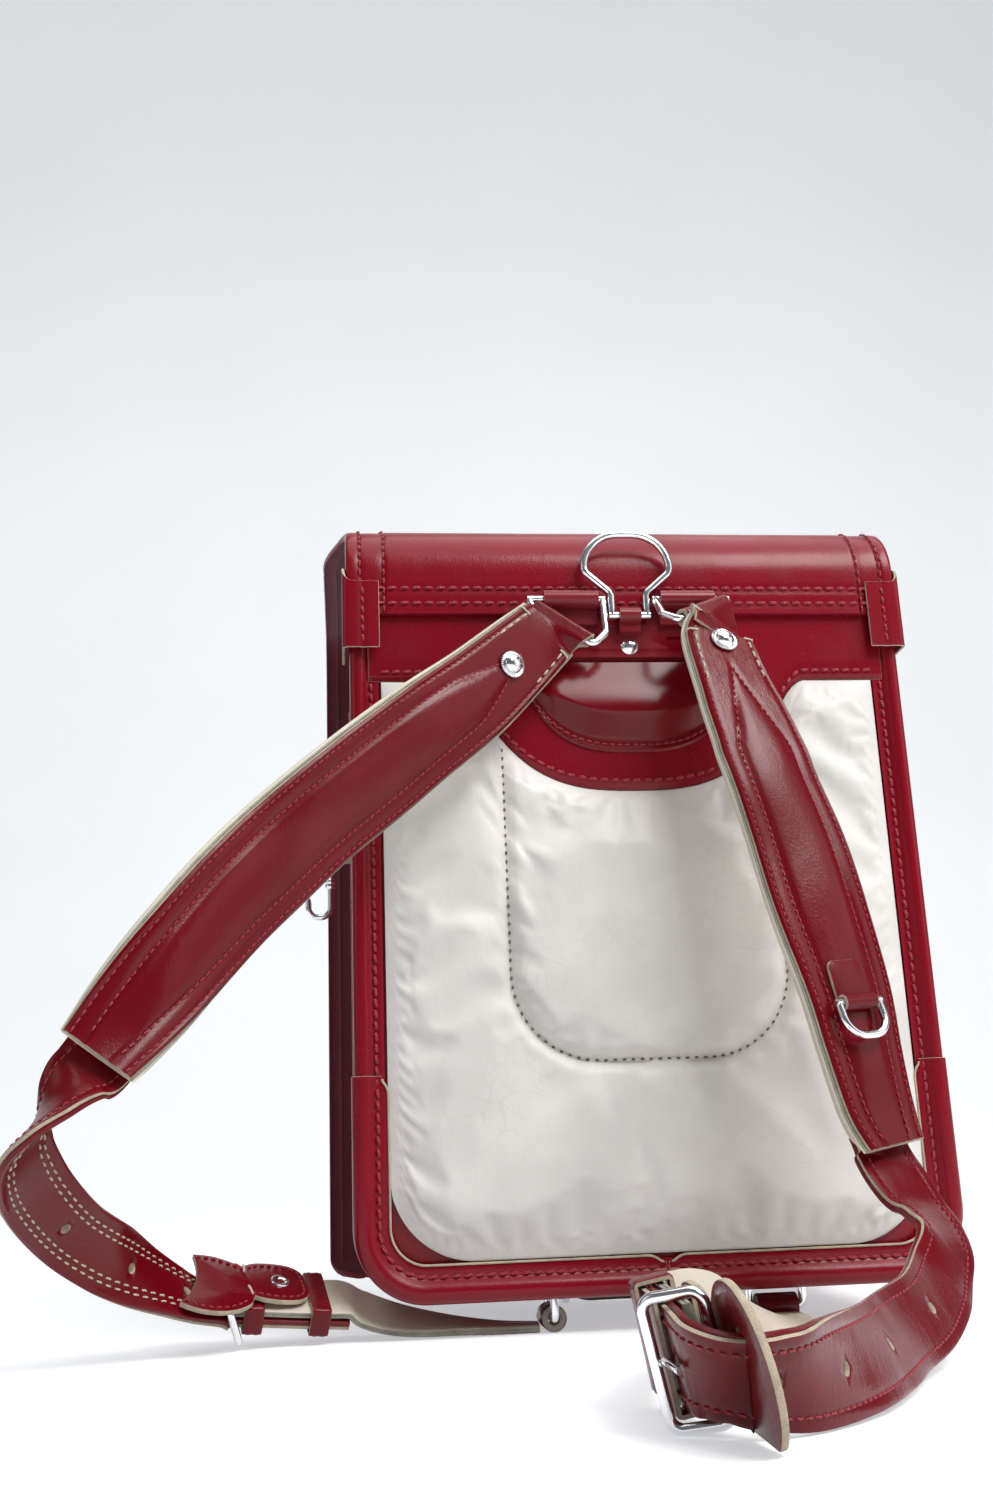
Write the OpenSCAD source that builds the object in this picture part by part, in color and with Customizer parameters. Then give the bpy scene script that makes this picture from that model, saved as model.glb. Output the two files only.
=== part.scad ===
// Leather school backpack with a top flap and two buckled shoulder straps.
// +X is the right-hand side seen from the wearer's side, +Y points away from the wearer,
// +Z is up and Z = 0 is the floor under the standing bag.

/* [Back] */
// Width of the back over its rolled edges
back_w = 262; // [240:1:290]
// Height of the back board above its lower edge
back_h = 316; // [290:1:340]
// Thickness of the back board
board_t = 4; // [3:0.5:5]
// Radius of the rolled and stitched edge
roll_r = 4; // [3:0.25:4.5]
// Corner radius at the lower corners of the back
corner_r = 30; // [22:1:40]
// Thickness of the leather yoke and its half-round dip
yoke_t = 3; // [2:0.25:3.5]
// Depth of the half-round dip in the yoke
dip_h = 53; // [40:1:64]
// Half width of the half-round dip
dip_w = 76; // [66:1:84]
// Thickness of the corner patches
patch_t = 1.6; // [1:0.1:2.2]
// Height of the corner patches up the sides
patch_h = 92; // [70:1:110]

/* [Back cushion] */
// Crown of the ivory cushion
pad_crown = 12; // [8:0.5:16]
// Width of the red border between rolled edge and cushion
pad_border = 14.5; // [12:0.5:20]
// Corner radius of the cushion
pad_corner_r = 36; // [28:1:44]
// Depth of the sewn channel
channel_d = 5; // [3:0.5:6]
// Half width of the sewn U
channel_w = 62; // [50:1:70]
// Height of the U above the cushion's lower edge
channel_z = 80; // [60:1:95]

/* [Body] */
// Clear depth of the main compartment
main_depth = 120; // [100:1:135]
// Depth of the small compartment
small_depth = 32; // [24:1:40]
// Depth of the front pocket
pocket_depth = 10; // [9:0.5:14]
// Leather thickness of the gussets
gusset_t = 2.5; // [2:0.25:3]
// Inset of the main gusset from the rolled edges
gusset_inset = 5; // [4.5:0.25:7]
// Height of the gussets' top edge above the back's lower edge
gusset_h = 296; // [270:1:310]
// Gap between the back's lower edge and the floor
floor_gap = 15; // [14.5:0.25:18]

/* [Flap] */
// Leather thickness of the flap
flap_t = 3.2; // [2.5:0.1:3.6]
// Thickness of the flap's lining
lining_t = 0.8; // [0.5:0.1:1]
// Width of the flap
flap_w = 286; // [270:1:300]
// Radius of the flap over its back and front edges
flap_r = 30; // [24:1:36]
// Height of the flap's top above the lower edge of its back strip
flap_rise = 51; // [46:1:60]
// Gap at each living hinge of the flap
hinge_gap = 0.3; // [0.2:0.05:0.4]

/* [Fittings] */
// Wire radius of the strap rings and of the hang loop
wire_r = 1.8; // [1.5:0.1:2]
// Running clearance of a wire in its tube
wire_play = 0.06; // [0.03:0.01:0.1]
// Outer radius of the bracket's tubes
tube_r = 4.4; // [4:0.1:4.8]
// Distance from the centre to the inner end of each tube
tube_in = 14.8; // [14.4:0.1:16]
// Length of each tube
tube_l = 25.8; // [22:0.2:30]
// Length of a strap ring's inner leg
ring_leg = 19; // [16:0.5:21]
// How far the left ring leans out
left_lean = 15; // [12:1:20]
// How far the right ring stands out
right_lean = 48; // [44:1:60]
// Half width of the hang loop at its legs
loop_leg = 8.4; // [8.2:0.1:8.6]
// Half width of the hang loop at its shoulders
loop_wide = 20.5; // [18:0.5:24]
// Height of the hang loop
loop_h = 41; // [36:0.5:44]

/* [Shoulder straps] */
// Width of the shoulder pad at its middle
pad_w = 45; // [42:1:50]
// Thickness of the padded red face
face_t = 3; // [2:0.25:4]
// Thickness of the ivory backing
backing_t = 4.5; // [3:0.25:6]
// Width of the perforated belt
belt_w = 27; // [25:0.5:28]
// Thickness of the perforated belt
belt_t = 4; // [3:0.25:4.5]
// Thickness of the lower belt
lower_t = 3.2; // [2.4:0.1:3.4]
// Hole radius in the perforated belt
hole_r = 2; // [1.6:0.1:2.3]
// Wire radius of the buckle
buckle_r = 1.6; // [1.3:0.1:1.8]
// Outer radius of the eye at the lower end
eye_r = 5.5; // [5:0.1:5.8]
// Wire radius of the lower rings
low_wire_r = 1.8; // [1.5:0.1:2]

/* [Lock] */
// Width between the lock's side rails
rail_gap = 46; // [44:1:52]
// Distance of the knob from the front of the flap
knob_back = 34; // [32:0.5:36]
// Length of the tongue
tongue_l = 42; // [40:0.5:44]
// Width of the tongue
tongue_w = 40; // [34:1:42]
// Slope of the open tongue
tongue_slope = 16.5; // [15.5:0.25:17]

/* [Hidden] */
$fn = 48;
e = 0.01;

red = [0.62, 0.06, 0.12];
deep_red = [0.45, 0.03, 0.08];
ivory = [0.9, 0.87, 0.82];
steel = [0.78, 0.78, 0.8];

// Heights and depths of the body
z_bottom = floor_gap;
z_back_top = z_bottom + back_h;
z_gusset = z_bottom + gusset_inset;
z_gusset_top = z_bottom + gusset_h;
y_main = board_t + main_depth;
y_front_board = y_main + board_t - 1;
y_small = y_front_board + small_depth;
y_small_front = y_small + gusset_t;
y_pocket = y_small_front + pocket_depth;
inner_half = back_w / 2 - roll_r;
strip_y = -yoke_t;
z_strip = z_back_top - 14;
edge_h = z_strip - z_bottom - 0.3;

// The flap's outline, measured on its outer faces
y_flap_back = strip_y - flap_t;
y_flap_front = y_pocket + 7 + flap_t + lining_t;
z_flap_top = z_strip + flap_rise;
y_hinge = y_flap_back + flap_r;
root_half = back_w / 2 + 1;
y_bend = y_flap_front - flap_r;
z_turn = z_flap_top - flap_r;
lip_r = 16;
z_lip = z_bottom + 12;
lip_angle = 60;

// The bracket, its tubes and the rings
tube_y = y_flap_back - 0.2 - tube_r;
tube_z = z_strip + 5;
loop_z = tube_z - 8;
ring_out = tube_in + tube_l + 6.2;
ring_in = tube_in - wire_r - 0.4;
ring_low = [ring_in + 6.5, ring_leg + 7];
ring_end = [ring_out, 3.4];
wire_bend = wire_r + 0.2;
ring_mid = (ring_low + ring_end) / 2;
ring_dir = (ring_end - ring_low) / norm(ring_end - ring_low);

function ring_point(side, lean, p) =
    [side * p[0], tube_y - p[1] * sin(lean), tube_z - p[1] * cos(lean)];
function ring_vector(side, lean, p) = [side * p[0], -p[1] * sin(lean), -p[1] * cos(lean)];

left_top = ring_point(-1, left_lean, ring_mid);
right_top = ring_point(1, right_lean, ring_mid);
left_low = [-48, 17, eye_r];
right_low = [50, 16, eye_r];

function unit(v) = v / norm(v);
function mix(a, b, t) = a + (b - a) * t;
function clamp(v, lo, hi) = min(hi, max(lo, v));

// Each row of a route is a share of the way up from the lower ring to the upper one, an offset
// from the straight line between them, the direction across the strap, and a half width.
function placed(rows, low, top) = [
    for (r = rows)
        let (base = mix(low, top, r[0]))
        [base[0] + r[1], base[1] + r[2], (r[0] > 0 ? base[2] : 0) + r[3],
         r[4][0], r[4][1], r[4][2], r[5]]
];
function spline(p0, p1, p2, p3, t) =
    0.5 * (2 * p1 + (p2 - p0) * t + (2 * p0 - 5 * p1 + 4 * p2 - p3) * t * t
           + (3 * p1 - p0 - 3 * p2 + p3) * t * t * t);
function smooth(rows, n) =
    let (last = len(rows) - 1)
    [
        for (i = [0 : last - 1])
            for (k = [0 : n - 1])
                spline(rows[max(0, i - 1)], rows[i], rows[i + 1], rows[min(last, i + 2)], k / n),
        rows[last]
    ];
function spot(r) = [r[0], r[1], r[2]];
function tangent(rows, i) =
    let (last = len(rows) - 1)
    unit(spot(rows[min(last, i + 1)]) - spot(rows[max(0, i - 1)]));
function across(rows, i) =
    let (t = tangent(rows, i), a = [rows[i][3], rows[i][4], rows[i][5]])
    unit(a - t * (a * t));
function outward(rows, i) = cross(tangent(rows, i), across(rows, i));

// The flat band along rows, between two heights on its outward side.
module band(rows, low, high, width_share = 1, ease = 0.7) {
    section = [
        [-1, low + ease], [-0.95, low], [0.95, low], [1, low + ease],
        [1, high - ease], [0.95, high], [-0.95, high], [-1, high - ease]
    ];
    count = len(section);
    points = [
        for (i = [0 : len(rows) - 1])
            let (p = spot(rows[i]), a = across(rows, i), n = outward(rows, i))
            for (s = section)
                p + a * s[0] * rows[i][6] * width_share + n * s[1]
    ];
    last = len(rows) - 1;
    sides = [
        for (i = [0 : last - 1])
            for (k = [0 : count - 1])
                let (a = i * count + k, b = i * count + (k + 1) % count)
                each k < 4
                    ? [[a, b + count, b], [a, a + count, b + count]]
                    : [[a, a + count, b], [b, a + count, b + count]]
    ];
    starts = [for (k = [1 : count - 2]) [0, k, k + 1]];
    ends = [for (k = [1 : count - 2]) [last * count, last * count + k + 1, last * count + k]];
    polyhedron(points, concat(sides, starts, ends), convexity = 6);
}

// Puts its children at a station: X along the strap, Y across it and Z outward.
module at_station(rows, i) {
    p = spot(rows[i]);
    t = tangent(rows, i);
    a = across(rows, i);
    n = outward(rows, i);
    multmatrix([
        [t[0], a[0], n[0], p[0]],
        [t[1], a[1], n[1], p[1]],
        [t[2], a[2], n[2], p[2]],
        [0, 0, 0, 1]
    ]) children();
}

// Places its children with X along u and Y along v.
module in_plane(origin, u, v) {
    w = cross(u, v);
    multmatrix([
        [u[0], v[0], w[0], origin[0]],
        [u[1], v[1], w[1], origin[1]],
        [u[2], v[2], w[2], origin[2]],
        [0, 0, 0, 1]
    ]) children();
}

function flat(p) = [p[0], p[1]];
function corner_turn(a, b, c) =
    let (u = unit(flat(b) - flat(a)), v = unit(flat(c) - flat(b)))
    atan2(u[0] * v[1] - u[1] * v[0], u * v);

// The corners [x, y, bend radius] of a wire, with an arc of points at each bend.
function bent(corners, closed) =
    let (count = len(corners))
    [
        for (i = [0 : count - 1])
            if (!closed && (i == 0 || i == count - 1)) flat(corners[i])
            else
                let (b = flat(corners[i]), r = corners[i][2],
                     u = unit(b - flat(corners[(i + count - 1) % count])),
                     turn = corner_turn(corners[(i + count - 1) % count], corners[i],
                                        corners[(i + 1) % count]),
                     side = turn > 0 ? 1 : -1,
                     centre = b - u * r * tan(abs(turn) / 2) + side * r * [-u[1], u[0]],
                     from = atan2(u[1], u[0]) - 90 * side)
                each [for (k = [0 : 4]) centre + r * [cos(from + turn * k / 4), sin(from + turn * k / 4)]]
    ];

// A wire bent in the X-Y plane through the corners [x, y, bend radius].
module wire(corners, r, closed = true) {
    sides = 12;
    path = bent(corners, closed);
    count = len(path);
    points = [
        for (i = [0 : count - 1])
            let (before = path[closed ? (i + count - 1) % count : max(0, i - 1)],
                 after = path[closed ? (i + 1) % count : min(count - 1, i + 1)],
                 d = unit(after - before))
            for (k = [0 : sides - 1])
                let (a = 360 * k / sides)
                [path[i][0] - d[1] * r * cos(a), path[i][1] + d[0] * r * cos(a), r * sin(a)]
    ];
    skin = [
        for (i = [0 : count - (closed ? 1 : 2)])
            for (k = [0 : sides - 1])
                let (a = i * sides + k, b = i * sides + (k + 1) % sides,
                     c = ((i + 1) % count) * sides + (k + 1) % sides, d = ((i + 1) % count) * sides + k)
                each [[a, c, b], [a, d, c]]
    ];
    last = (count - 1) * sides;
    ends = closed ? [] : [for (k = [1 : sides - 2]) each [[0, k, k + 1], [last, last + k + 1, last + k]]];
    polyhedron(points, concat(skin, ends), convexity = 6);
}

module rod(a, b, r) {
    d = b - a;
    length = norm(d);
    translate(a)
        rotate([0, acos(d[2] / length), atan2(d[1], d[0])])
            cylinder(r = r, h = length);
}

// An upright panel outline with round lower corners, drawn in X and Y, its lower edge at 0.
module panel_2d(half, h, r) {
    translate([-half, r]) square([2 * half, h - r]);
    translate([-half + r, 0]) square([2 * (half - r), r + e]);
    for (s = [-1, 1])
        translate([s * (half - r), r]) circle(r);
}

// Turns a drawing in X and Y upright, from y0 to y1.
module upright(y0, y1) {
    translate([0, y1, 0]) rotate([90, 0, 0]) linear_extrude(y1 - y0) children();
}

// Turns a drawing of Y and Z into a solid that is wide in X.
module sideways(half) {
    translate([-half, 0, 0]) rotate([90, 0, 90]) linear_extrude(2 * half) children();
}

// A flat box with round vertical corners, its middle at the origin.
module slab(x, y, z, r) {
    translate([0, 0, -z / 2]) linear_extrude(z) {
        square([x - 2 * r, y], center = true);
        square([x, y - 2 * r], center = true);
        for (sx = [-1, 1])
            for (sy = [-1, 1])
                translate([sx * (x / 2 - r), sy * (y / 2 - r)]) circle(r);
    }
}

// The rolled edge down both sides and along the bottom, with its middle at y.
module rolled_edge(half, h, r, y, bend) {
    for (s = [-1, 1]) {
        translate([s * half, y, z_bottom + r + bend]) cylinder(r = r, h = h - r - bend);
        translate([s * (half - bend), y, z_bottom + r + bend])
            rotate([90, 0, 0])
                rotate([0, 0, s > 0 ? -90 : 180])
                    rotate_extrude(angle = 90) translate([bend, 0]) circle(r);
    }
    translate([-half + bend, y, z_bottom + r])
        rotate([0, 90, 0]) cylinder(r = r, h = 2 * (half - bend));
}

// Height of the yoke's lower edge at x
z_yoke = z_back_top - 46;
function dip(x) =
    let (u = clamp(abs(x) / dip_w, 0, 1))
    dip_h * pow(max(0, 1 - pow(u, 3)), 0.8);

/* Back */

module back_board() {
    color(red) difference() {
        upright(0, board_t)
            translate([0, z_bottom + roll_r]) panel_2d(inner_half, back_h - roll_r, corner_r - roll_r);
        rolled_edge(inner_half, edge_h, roll_r, 0, corner_r - roll_r);
    }
}

module back_rolled_edge() {
    color(red) rolled_edge(inner_half, edge_h, roll_r, 0, corner_r - roll_r);
}

cushion_half = back_w / 2 - pad_border;
z_cushion = z_bottom + pad_border + 1;
cushion_gap = 0.6;

function cushion_low(x) =
    let (over = max(0, abs(x) - (cushion_half - pad_corner_r)))
    z_cushion + pad_corner_r - sqrt(max(0, pad_corner_r * pad_corner_r - over * over));
function cushion_high(x) = z_yoke - dip(x) - cushion_gap;

// Distance from the sewn U channel
function to_channel(x, z) =
    let (r = 38, zc = z_cushion + channel_z + r, xc = channel_w - r)
    z > zc ? abs(abs(x) - channel_w)
    : abs(x) > xc ? abs(norm([abs(x) - xc, z - zc]) - r)
    : abs(z - (zc - r));
function swell(d) = 1 - pow(1 - clamp(d / 26, 0, 1), 2.4);
function cushion_depth(x, z) =
    let (rim = swell(cushion_half - abs(x)) * swell(z - cushion_low(x)) * swell(cushion_high(x) - z))
    2 + pad_crown * rim - channel_d * rim * exp(-pow(to_channel(x, z) / 4.5, 2));

module back_cushion() {
    half_x = [for (u = [0, 12, 24, 36, 46, 53, 58, 62, 66, 72, 80, 88, 96, 104, 110, 114, 116.5])
              u / 116.5 * cushion_half];
    xs = [for (i = [len(half_x) - 1 : -1 : 1]) -half_x[i], for (x = half_x) x];
    shares = [0, 0.015, 0.05, 0.1, 0.16, 0.22, 0.27, 0.3, 0.325, 0.35, 0.38, 0.42, 0.47, 0.53, 0.59,
              0.65, 0.7, 0.75, 0.8, 0.85, 0.89, 0.92, 0.95, 0.98, 1];
    nx = len(xs);
    nz = len(shares);
    front = [
        for (x = xs)
            for (s = shares)
                let (z = mix(cushion_low(x), cushion_high(x), s))
                [x, -cushion_depth(x, z), z]
    ];
    rear = [for (p = front) [p[0], -0.05, p[2]]];
    all = nx * nz;
    skin = [
        for (i = [0 : nx - 2])
            for (j = [0 : nz - 2])
                let (a = i * nz + j, b = a + 1, c = a + nz, d = c + 1)
                each [[a, b, c], [c, b, d]]
    ];
    // The rear is one strip between the columns, with a fan at each side.
    strip = [
        for (i = [1 : nx - 3])
            let (a = all + i * nz, b = a + nz - 1, c = a + nz, d = b + nz)
            each [[a, c, b], [c, d, b]]
    ];
    left_fan = [for (j = [0 : nz - 2]) [all + j, all + nz, all + j + 1]];
    left_cap = [[all + nz - 1, all + nz, all + 2 * nz - 1]];
    r0 = all + (nx - 1) * nz;
    right_fan = [for (j = [0 : nz - 2]) [r0 + j, r0 + j + 1, r0 - nz]];
    right_cap = [[r0 + nz - 1, r0 - 1, r0 - nz]];
    left_side = [for (j = [0 : nz - 2]) each [[j, all + j, all + j + 1], [j, all + j + 1, j + 1]]];
    q0 = (nx - 1) * nz;
    right_side = [
        for (j = [0 : nz - 2])
            each [[q0 + j, q0 + j + 1, r0 + j], [q0 + j + 1, r0 + j + 1, r0 + j]]
    ];
    foot = [
        for (i = [0 : nx - 2])
            let (a = i * nz, b = a + nz)
            each [[a, b, all + b], [a, all + b, all + a]]
    ];
    head = [
        for (i = [0 : nx - 2])
            let (a = i * nz + nz - 1, b = a + nz)
            each [[a, all + a, all + b], [a, all + b, b]]
    ];
    color(ivory)
        polyhedron(concat(front, rear),
                   concat(skin, strip, left_fan, left_cap, right_fan, right_cap,
                          left_side, right_side, foot, head), convexity = 6);
}

module yoke() {
    half = inner_half - roll_r - 0.3;
    edge = [for (x = [-half, for (u = [-1 : 0.1 : 1.001]) u * dip_w, half]) [x, z_yoke - dip(x)]];
    color(red) upright(strip_y, 0)
        polygon(concat([[-half, z_back_top - 2]], edge, [[half, z_back_top - 2]]));
}

rest_w = 55;
z_rest = z_yoke - 36;
z_rest_top = tube_z - 29;

module back_rest() {
    ridge = z_rest + 17;
    edge = [for (u = [-1 : 0.1 : 1.001])
            [u * rest_w, z_rest_top - (z_rest_top - z_rest) * pow(1 - pow(abs(u), 3), 0.7)]];
    color(deep_red) intersection() {
        upright(strip_y - 10, strip_y) polygon(edge);
        sideways(rest_w)
            polygon([[strip_y, z_rest - 1], [strip_y - 2, z_rest - 1], [strip_y - 3, z_rest + 5],
                     [strip_y - 9, ridge], [strip_y - 4, z_rest_top], [strip_y, z_rest_top]]);
    }
}

module corner_patch(side) {
    sleeve = roll_r + patch_t;
    bend = corner_r - roll_r;
    color(red) {
        upright(-patch_t, 0) intersection() {
            difference() {
                translate([0, z_bottom + 2 * roll_r + 0.4])
                    panel_2d(inner_half - roll_r - 0.4, back_h, bend - roll_r);
                translate([0, z_cushion - 0.5])
                    panel_2d(cushion_half + 0.5, back_h, pad_corner_r);
            }
            translate([side > 0 ? 0.2 : -back_w / 2, z_bottom])
                square([back_w / 2 - 0.2, patch_h]);
        }
        difference() {
            intersection() {
                rolled_edge(inner_half, patch_h, sleeve, 0, bend - patch_t);
                translate([side > 0 ? 0.2 : -back_w, -sleeve - 1, z_bottom - patch_t])
                    cube([back_w - 0.2, sleeve + 1 - 0.2, patch_h]);
            }
            rolled_edge(inner_half, back_h, roll_r + 0.02, 0, bend);
            translate([-back_w, -patch_t, z_bottom + 2 * roll_r])
                cube([2 * back_w, 2 * patch_t, back_h]);
        }
    }
}

module top_cap(side) {
    cap_w = 17;
    cap_t = 1.5;
    z_cap = z_strip - 17;
    cap_h = 41;
    outer = root_half + 0.4 + cap_t;
    y_face = y_flap_back - cap_t;
    color(red) translate([side > 0 ? outer - cap_w : -outer, 0, z_cap]) {
        translate([0, y_face - 0.2, 0]) cube([cap_w, cap_t, cap_h - 8]);
        translate([side > 0 ? cap_w - cap_t : 0, y_face - 0.2, 0]) cube([cap_t, 26, cap_h]);
    }
}

/* Bracket, rings and hang loop */

bracket_y = strip_y - 3;
bracket_z0 = tube_z - 27;
bracket_z1 = z_strip - 0.6;
bracket_half = 44;

module strap_bracket() {
    color(deep_red) difference() {
        union() {
            difference() {
                translate([0, (bracket_y + strip_y) / 2, (bracket_z0 + bracket_z1) / 2])
                    rotate([90, 0, 0])
                        slab(2 * bracket_half, bracket_z1 - bracket_z0, strip_y - bracket_y, 3);
                for (s = [-1, 1])
                    translate([s * 29, bracket_y, bracket_z0 + 7])
                        rotate([90, 0, 0]) slab(22, 6, 2, 1.5);
            }
            for (s = [-1, 1]) {
                translate([s > 0 ? tube_in : -tube_in - tube_l, tube_y, tube_z])
                    rotate([0, 90, 0]) cylinder(r = tube_r, h = tube_l);
                translate([s > 0 ? tube_in : -tube_in - tube_l, tube_y + 2.4, bracket_z1 - 6])
                    cube([tube_l, y_flap_back - 0.4 - tube_y - 2.4, tube_z - bracket_z1 + 6]);
                translate([s > 0 ? tube_in : -tube_in - tube_l, bracket_y - 2.6, bracket_z1 - 6])
                    cube([tube_l, 3.6, 6]);
            }
            translate([-5, tube_y, loop_z]) rotate([0, 90, 0]) cylinder(r = 3.8, h = 10);
            translate([-5, tube_y, loop_z - 8]) cube([10, -tube_y + bracket_y + 1, 8]);
        }
        translate([-back_w / 2, tube_y, tube_z])
            rotate([0, 90, 0]) cylinder(r = wire_r + wire_play, h = back_w);
        translate([-back_w / 2, tube_y, loop_z])
            rotate([0, 90, 0]) cylinder(r = wire_r + wire_play, h = back_w);
    }
}

rivet_z = bracket_z0 + 5.5;

module bracket_rivet() {
    color(steel) translate([0, bracket_y - 0.02, 0]) intersection() {
        translate([0, 4.4, rivet_z]) sphere(6, $fn = 96);
        translate([-5, -2, rivet_z - 5]) cube([10, 2, 10]);
    }
}

module strap_ring(side, lean) {
    path = [[ring_in, 0], [ring_in, ring_leg], ring_low, ring_end, [ring_out, 0]];
    color(steel) {
        in_plane([0, tube_y, tube_z], [side, 0, 0], [0, -sin(lean), -cos(lean)])
            wire([for (p = path) [p[0], p[1], wire_bend]], wire_r, false);
        translate([side > 0 ? ring_in - wire_r : -ring_out - wire_r, tube_y, tube_z])
            rotate([0, 90, 0]) cylinder(r = wire_r, h = ring_out - ring_in + 2 * wire_r);
    }
}

module hang_loop() {
    half = [[loop_leg, 0, 0], [loop_leg, 11, 4], [loop_wide, 22, 6], [loop_wide, loop_h, 9.5]];
    other = [for (i = [len(half) - 1 : -1 : 0]) [-half[i][0], half[i][1], half[i][2]]];
    color(steel) {
        in_plane([0, tube_y, loop_z], [1, 0, 0], [0, 0, 1]) wire(concat(half, other), wire_r, false);
        translate([-loop_leg - wire_r - 0.1, tube_y, loop_z])
            rotate([0, 90, 0]) cylinder(r = wire_r, h = 2 * (loop_leg + wire_r + 0.1));
    }
}

/* Compartments */

module gusset(half, y0, y1, top) {
    bend = corner_r - gusset_inset;
    upright(y0, y1) difference() {
        translate([0, z_gusset]) panel_2d(half, top - z_gusset, bend);
        translate([0, z_gusset + gusset_t]) panel_2d(half - gusset_t, top, bend - gusset_t);
    }
}

main_half = back_w / 2 - gusset_inset;
small_half = main_half - 3;

module main_gusset() {
    color(red) gusset(main_half, board_t, y_main, z_gusset_top);
}

module front_board() {
    color(red) difference() {
        upright(y_main, y_front_board)
            translate([0, z_bottom + 3.2])
                panel_2d(back_w / 2 - 3.2, gusset_h - 3.2, corner_r - 3.2);
        rolled_edge(back_w / 2 - 3.2, gusset_h - 2, 3.2, y_main + 1.5, corner_r - 3.2);
    }
}

// Its tube is cut away where the gussets' leather is sewn into it.
module front_rolled_edge() {
    color(red) difference() {
        rolled_edge(back_w / 2 - 3.2, gusset_h - 2, 3.2, y_main + 1.5, corner_r - 3.2);
        main_gusset();
        small_gusset();
    }
}

// The small compartment ends this far below the main one.
small_drop = 14;

module small_gusset() {
    color(red) gusset(small_half, y_front_board, y_small, z_gusset_top - small_drop);
}

module small_front() {
    color(red) upright(y_small, y_small_front)
        translate([0, z_gusset])
            panel_2d(small_half, gusset_h - small_drop - gusset_inset, corner_r - gusset_inset);
}

pocket_half = 104;
pocket_lift = 46;
pocket_h = 170;
pocket_r = 16;
pocket_wall = 1.6;
z_pocket = z_bottom + pocket_lift;
z_pocket_top = z_pocket + pocket_h;

module front_pocket() {
    color(red) difference() {
        upright(y_small_front, y_pocket)
            translate([0, z_pocket]) panel_2d(pocket_half, pocket_h, pocket_r);
        upright(y_small_front - 1, y_pocket - pocket_wall)
            translate([0, z_pocket + pocket_wall])
                panel_2d(pocket_half - pocket_wall, z_pocket_top, pocket_r - pocket_wall);
    }
}

tape_h = 7;
tape_half = pocket_half - 6;
slider_x = tape_half - 10;
slot_low = y_small_front + 1.4;
slot_high = y_pocket - 1.4;

module zip_tapes() {
    color(deep_red) for (y = [y_small_front, slot_high])
        translate([-tape_half, y, z_pocket_top]) cube([2 * tape_half, 1.4, tape_h]);
}

pull_z = z_pocket_top + tape_h + 1.6;

module zip_slider() {
    color(steel) difference() {
        union() {
            translate([slider_x, (slot_low + slot_high) / 2, z_pocket_top + tape_h / 2])
                rotate([0, 90, 90]) slab(tape_h, 12, slot_high - slot_low - 0.4, 1.5);
            translate([slider_x - 3, (slot_low + slot_high) / 2, pull_z])
                rotate([0, 90, 0]) cylinder(r = 2.4, h = 6);
        }
        translate([slider_x - 8, (slot_low + slot_high) / 2, pull_z])
            rotate([0, 90, 0]) cylinder(r = 0.85, h = 16);
    }
}

// The pull's pin runs through the slider's lug and its tag lies forward over the pocket.
module zip_pull() {
    y_pin = (slot_low + slot_high) / 2;
    color(steel) {
        translate([slider_x - 5, y_pin, pull_z]) rotate([0, 90, 0]) cylinder(r = 0.8, h = 10);
        for (s = [-1, 1])
            translate([slider_x + s * 4.2 - 0.8, y_pin - 0.8, pull_z - 0.8])
                cube([1.6, y_pocket - y_pin + 2.4, 1.6]);
        translate([slider_x - 5, y_pocket + 0.5, pull_z - 22]) cube([10, 1.1, 22.8]);
    }
}

/* Lock under the front edge */

knob_y = y_flap_front - knob_back;
lock_top = z_gusset;
lock_plate_t = 5;
lock_low = lock_top - lock_plate_t;
rail_w = 4;
stem_r = 3;

module lock_base() {
    color(steel) difference() {
        union() {
            translate([0, knob_y, lock_top - lock_plate_t / 2])
                slab(rail_gap + 2 * rail_w, 36, lock_plate_t, 4);
            for (s = [-1, 1])
                translate([s * (rail_gap + rail_w) / 2, knob_y, lock_top / 2])
                    slab(rail_w, 30, lock_top, 1.9);
        }
        translate([0, knob_y, lock_low - 1]) cylinder(r = stem_r + 0.05, h = lock_plate_t);
    }
}

knob_t = 2.2;
knob_z = lock_low - 5.7;

module lock_knob() {
    color(steel) {
        translate([0, knob_y, knob_z + knob_t / 2]) slab(6.6, 15.4, knob_t, 3.2);
        translate([0, knob_y, knob_z + knob_t - 0.2]) cylinder(r = stem_r, h = 6.4);
    }
}

/* Flap */

// The curved strip between two angles about a centre, drawn in Y and Z.
module arc_2d(centre, r, thick, from, to) {
    translate(centre) intersection() {
        difference() {
            circle(r);
            circle(r - thick);
        }
        polygon([[0, 0], for (a = [from, mix(from, to, 0.5), to]) 2 * r * [cos(a), sin(a)]]);
    }
}

module flap_root() {
    color(red) sideways(root_half) {
        translate([y_flap_back, z_strip]) square([flap_t, z_turn - z_strip]);
        arc_2d([y_hinge, z_turn], flap_r, flap_t, 90, 180);
    }
}

module flap_top() {
    y0 = y_hinge + hinge_gap;
    color(red) translate([0, 0, z_flap_top - flap_t]) linear_extrude(flap_t)
        polygon([[-root_half, y0], [root_half, y0], [flap_w / 2, y0 + 40],
                 [flap_w / 2, y_bend], [-flap_w / 2, y_bend], [-flap_w / 2, y0 + 40]]);
}

module front_profile(inset, thick) {
    arc_2d([y_bend, z_turn], flap_r - inset, thick, 0, 90);
    translate([y_flap_front - inset - thick, z_lip]) square([thick, z_turn - z_lip]);
    arc_2d([y_flap_front - lip_r, z_lip], lip_r - inset, thick, -lip_angle, 0);
}

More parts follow.
